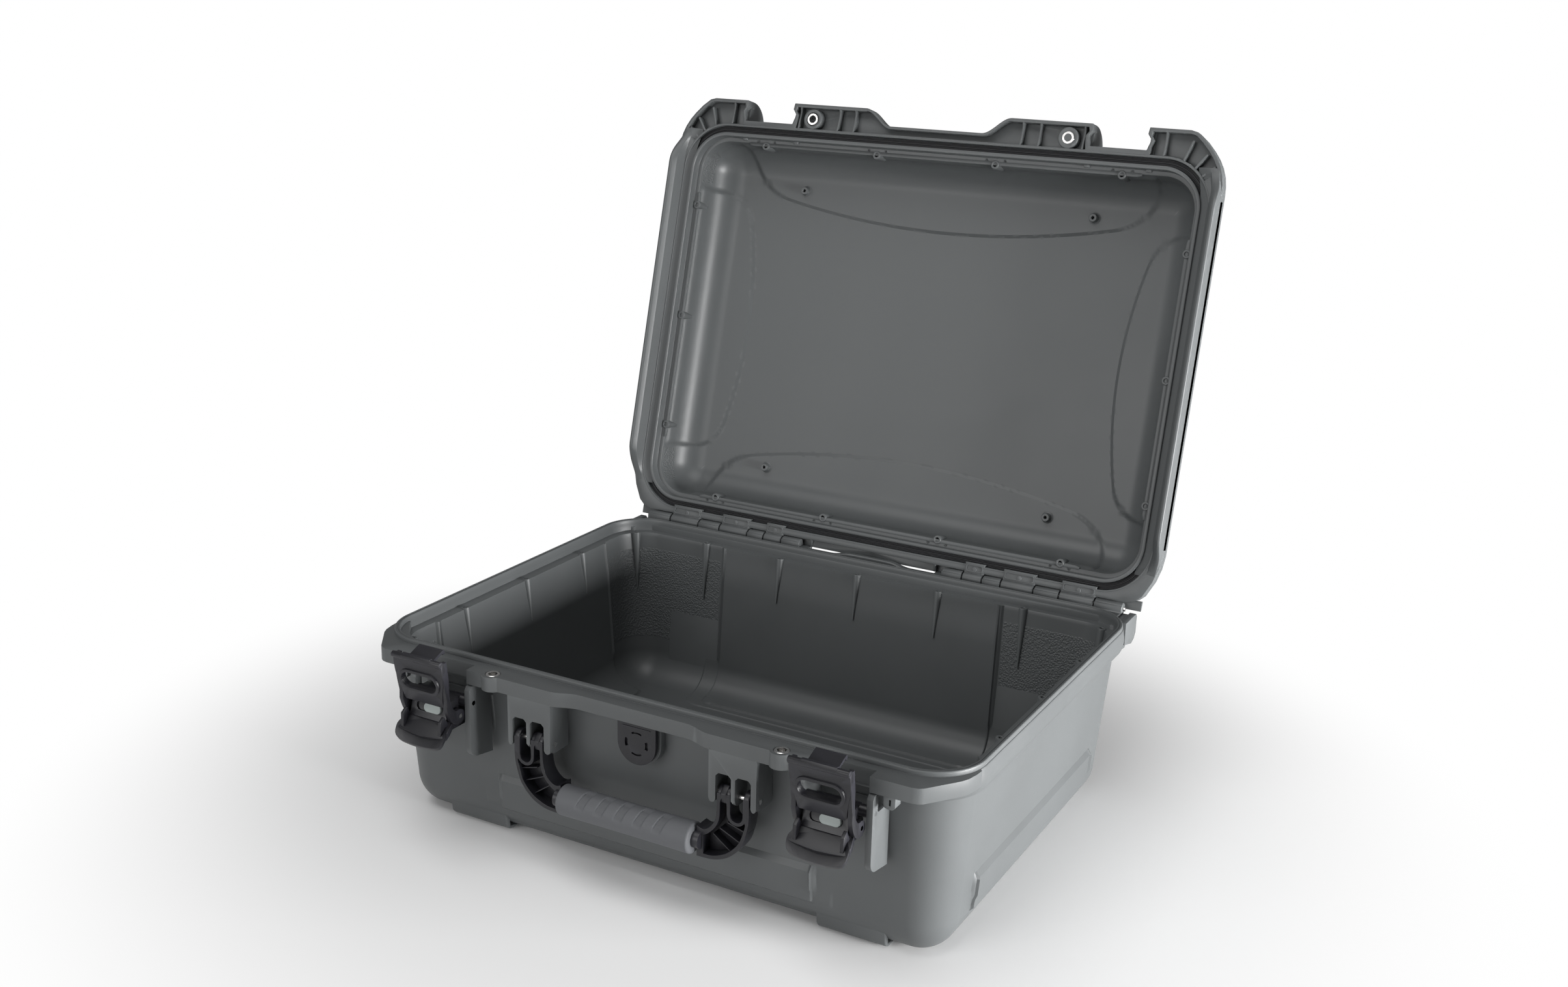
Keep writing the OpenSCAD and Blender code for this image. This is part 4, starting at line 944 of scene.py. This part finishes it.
def arms(bm):
    """Forked arm, open at the top: a rim round a deep pocket, with thin slanted ribs on a thin back web."""
    outer = smooth([(106.1, 112), (106.1, 98), (104.8, 87), (100, 73), (90, 62), (77, 56.4), (62, 55.4)], 6)
    inner = smooth([(62, 80.4), (67.6, 79), (73.4, 82.6), (77.4, 89), (78.9, 98), (78.9, 112)], 6)
    slot = [(90.2, 112), (90.2, 97)] + arc(95.6, 97, 5.4, 180, 360, 10)[1:-1] + [(101, 97), (101, 112)]
    body = outer[::-1] + slot[::-1] + inner[::-1]
    pocket_edge = smooth([(103.2, 92), (102.2, 87), (97.6, 74.8), (88.4, 65), (77, 59.6), (67.4, 58.6)], 6)
    back = smooth([(67.2, 74), (71.4, 76.4), (77.4, 82.6), (81.0, 91), (81.6, 104)], 5)
    back += arc(84.7, 106, 2.6, 160, 20, 6) + [(87.6, 97)]
    u = arc(95.6, 97, 8.0, 188, 330, 12)
    pocket = pocket_edge + back + u
    prism(bm, "y", -208, -194, body, [pocket])
    prism(bm, "y", -198.0, -195, pocket[::-1])
    for x0, z0, x1, z1 in ((86.5, 88.2, 104.0, 83.4), (80.0, 82.0, 99.4, 73.6), (74.4, 76.0, 90.4, 64.6)):
        k = 0.45 / math.hypot(x1 - x0, z1 - z0)
        dx, dz = (z1 - z0) * k, (x1 - x0) * k
        prism(bm, "y", -205.0, -196, [(x0 - dx, z0 + dz), (x1 - dx, z1 + dz), (x1 + dx, z1 - dz),
            (x0 + dx, z0 - dz)])


def ears(bm):
    for x0, x1, r in ((101.1, 106.1, 7), (78.9, 90.2, 6.6)):
        eye = [(2.1, x0), (r - 0.6, x0), (r, x0 + 0.6), (r, x1 - 0.6), (r - 0.6, x1), (2.1, x1), (2.1, x0)]
        lathe(bm, eye, (0, *AXLE), (1, 0, 0), 40)
    nut = [(2.2, 81.6), (7.2, 81.6), (8.0, 82.4), (8.0, 86.8), (7.2, 87.6), (2.2, 87.6), (2.2, 81.6)]
    lathe(bm, nut, (0, *AXLE), (1, 0, 0), 6)


settle(both(arms), "handle_arms", "handle", "black", 34, None, ("handle_frame",), 0.8, 3)
settle(both(ears), "handle_ears", "handle", "black", 34, None, (), 0.5, 2)
bm = bmesh.new()
lathe(bm, [(0, -66), (7, -66), (7, 66), (0, 66)], (0, GRIP_Y, GRIP_Z), (1, 0, 0), 40)
settle(bm, "handle_core", "handle", "black", 34)


def grip_skin():
    """Soft grip: slightly waisted, rolled ends, five slanted finger grooves on the upper front."""
    n, m = 241, 112
    u, th = np.meshgrid(np.linspace(-1, 1, n), np.linspace(0, 2 * math.pi, m, endpoint=False), indexing="ij")
    x = GRIP_HALF * u
    end = np.clip((np.abs(u) - 0.965) / 0.035, 0, 1)
    r = GRIP_R - 1.6 * end ** 3 - 0.35 * (1 - u * u)
    lead = (th - math.radians(128)) / math.radians(52)
    side = sstep(1.0, 0.45, np.abs(lead))
    along = x + 3 * lead
    centre = np.round(along / 17.5) * 17.5
    groove = sstep(4.2, 3.2, np.abs(along - centre)) * (np.abs(centre) < 45)
    r = r - 1.3 * groove * side
    v = np.stack([x, GRIP_Y + r * np.cos(th), GRIP_Z + r * np.sin(th)], -1).reshape(-1, 3)
    f = grid_faces(n, m, True)
    caps = np.array([[s * GRIP_HALF, GRIP_Y, GRIP_Z] for s in SIDES])
    last = (n - 1) * m
    fans = [[n * m, k, (k + 1) % m] for k in range(m)] + [[n * m + 1, last + (k + 1) % m,
        last + k] for k in range(m)]
    return np.concatenate([v, caps]), [list(q) for q in f] + fans


settle(mesh_of(grip_skin()), "handle_soft_grip", "handle", "grip", 40, None, ("handle_grip",))

# ------------------------------------------------------------------ valve
def d_plate(half, top):
    return [(half, top), (-half, top)] + arc(0, VALVE_Z, half, 180, 360, 24)


bm = bmesh.new()
holes = []
for a0, a1, r0, r1 in ((62, 118, 8.4, 9.8), (242, 298, 8.4, 9.8), (160, 200, 8.0, 10.6), (-20, 20, 8.0, 10.6)):
    holes.append(arc(0, VALVE_Z, r1, a0, a1, 8) + arc(0, VALVE_Z, r0, a1, a0, 8))
prism(bm, "y", -195.4, -193.4, d_plate(17.2, 142), holes)
prism(bm, "y", -193.6, -192.0, d_plate(17.2, 142))
prism(bm, "z", 142, 143.4, [(-15, -195), (15, -195), (15, -190), (-15, -190)])
prism(bm, "y", -195.9, -194.6, [(-12.5, 139.6), (12.5, 139.6), (12.5, 138.9), (-12.5, 138.9)])
settle(bm, "valve_cover_piece", "base", "black", 32, None, ("valve_cover",), 0.5, 3)
bm = prism(bmesh.new(), "y", -192.2, -186.4, d_plate(14.6, 141))
settle(bm, "valve_neck", "base", "seal", 32, bevel=0.3)
bm = prism(bmesh.new(), "y", -190.2, -182.0, d_plate(18.8, 144.5))
settle(bm, "valve_seat_plate", "base", "hard", 32, bevel=0.8, segments=3)

# ------------------------------------------------------- pieces kept from CAD
KINDS = {"valve_gasket": "seal", "valve_membrane": "membrane"}
for n, o in nodes.items():
    if not o.hide_render:
        kind = "steel" if "pin" in n or "eyelet" in n else KINDS.get(n, "black")
        o.data.materials.clear()
        o.data.materials.append(M[kind])
        o.data.shade_smooth()
        o.data.set_sharp_from_angle(angle=math.radians(30))

# ------------------------------------------------------------------- stage
scene = bpy.context.scene
cam = bpy.data.objects.new("camera", bpy.data.cameras.new("camera"))
scene.collection.objects.link(cam)
PAN, TILT, ROLL = 28.524, 72.993, 1.499  # degrees, read from the photograph with the place and the lens
cam.matrix_world = Matrix.Translation((0.6633, -1.1920, 0.6924))
for angle, axis in ((PAN, "Z"), (TILT, "X"), (ROLL, "Z")):
    cam.matrix_world @= Matrix.Rotation(math.radians(angle), 4, axis)
cam.data.sensor_width = 36.0
cam.data.lens = 39.554
cam.data.clip_start, cam.data.clip_end = 0.01, 60.0
scene.camera = cam
scene.render.resolution_x, scene.render.resolution_y = 2408, 1516

floor_mat = bpy.data.materials.new("floor")
floor_mat.use_nodes = True
ft = floor_mat.node_tree
ft.nodes.clear()
paper = make(ft, "BsdfPrincipled", {"Base Color": (0.93, 0.93, 0.93, 1), "Roughness": 0.9})
away = make(ft, "VectorMath", (make(ft, "NewGeometry", out="Position"),), "Value", operation="LENGTH")
white = make(ft, "Emission", {"Color": (1, 1, 1, 1), "Strength": 1.0})
fade = away.step(0.3, 0.66) * make(ft, "LightPath", out="Is Camera Ray")
laid = make(ft, "MixShader", (fade, paper, white))
fo = ft.nodes.new("ShaderNodeOutputMaterial")
ft.links.new(laid.out, fo.inputs["Surface"])
bm = bmesh.new()
bmesh.ops.create_grid(bm, x_segments=1, y_segments=1, size=12.0)
me = bpy.data.meshes.new("floor")
bm.to_mesh(me)
bm.free()
floor = bpy.data.objects.new("floor", me)
floor.location.z = -0.0005
me.materials.append(floor_mat)
scene.collection.objects.link(floor)


def softbox(name, at, size, power, target=(0, 0, 0.2)):
    light = bpy.data.lights.new(name, "AREA")
    light.shape, light.size, light.size_y, light.energy = "RECTANGLE", size[0], size[1], power
    o = bpy.data.objects.new(name, light)
    o.location = at
    o.rotation_euler = (Vector(target) - Vector(at)).to_track_quat("-Z", "Y").to_euler()
    scene.collection.objects.link(o)
    return o


stage = [floor, softbox("top", (-0.3, -0.9, 2.6), (2.4, 1.6), 30)]
stage += [softbox("right", (2.4, 0.1, 0.22), (1.5, 0.34), 150, (0, 0, 0.1))]
stage += [softbox("front", (-1.0, -2.9, 1.1), (2.0, 1.4), 30, (0, 0.2, 0.35))]
world = bpy.data.worlds.new("world")
scene.world = world
world.use_nodes = True
wt = world.node_tree
wt.nodes.clear()
cam_ray = make(wt, "LightPath", out="Is Camera Ray")
glow = make(wt, "Background", {"Color": (1, 1, 1, 1), "Strength": 0.17})
seen = make(wt, "Background", {"Color": (1, 1, 1, 1), "Strength": 1.0})
mixed = make(wt, "MixShader", (cam_ray, glow, seen))
wo = wt.nodes.new("ShaderNodeOutputWorld")
wt.links.new(mixed.out, wo.inputs["Surface"])
scene.view_settings.view_transform = "Standard"
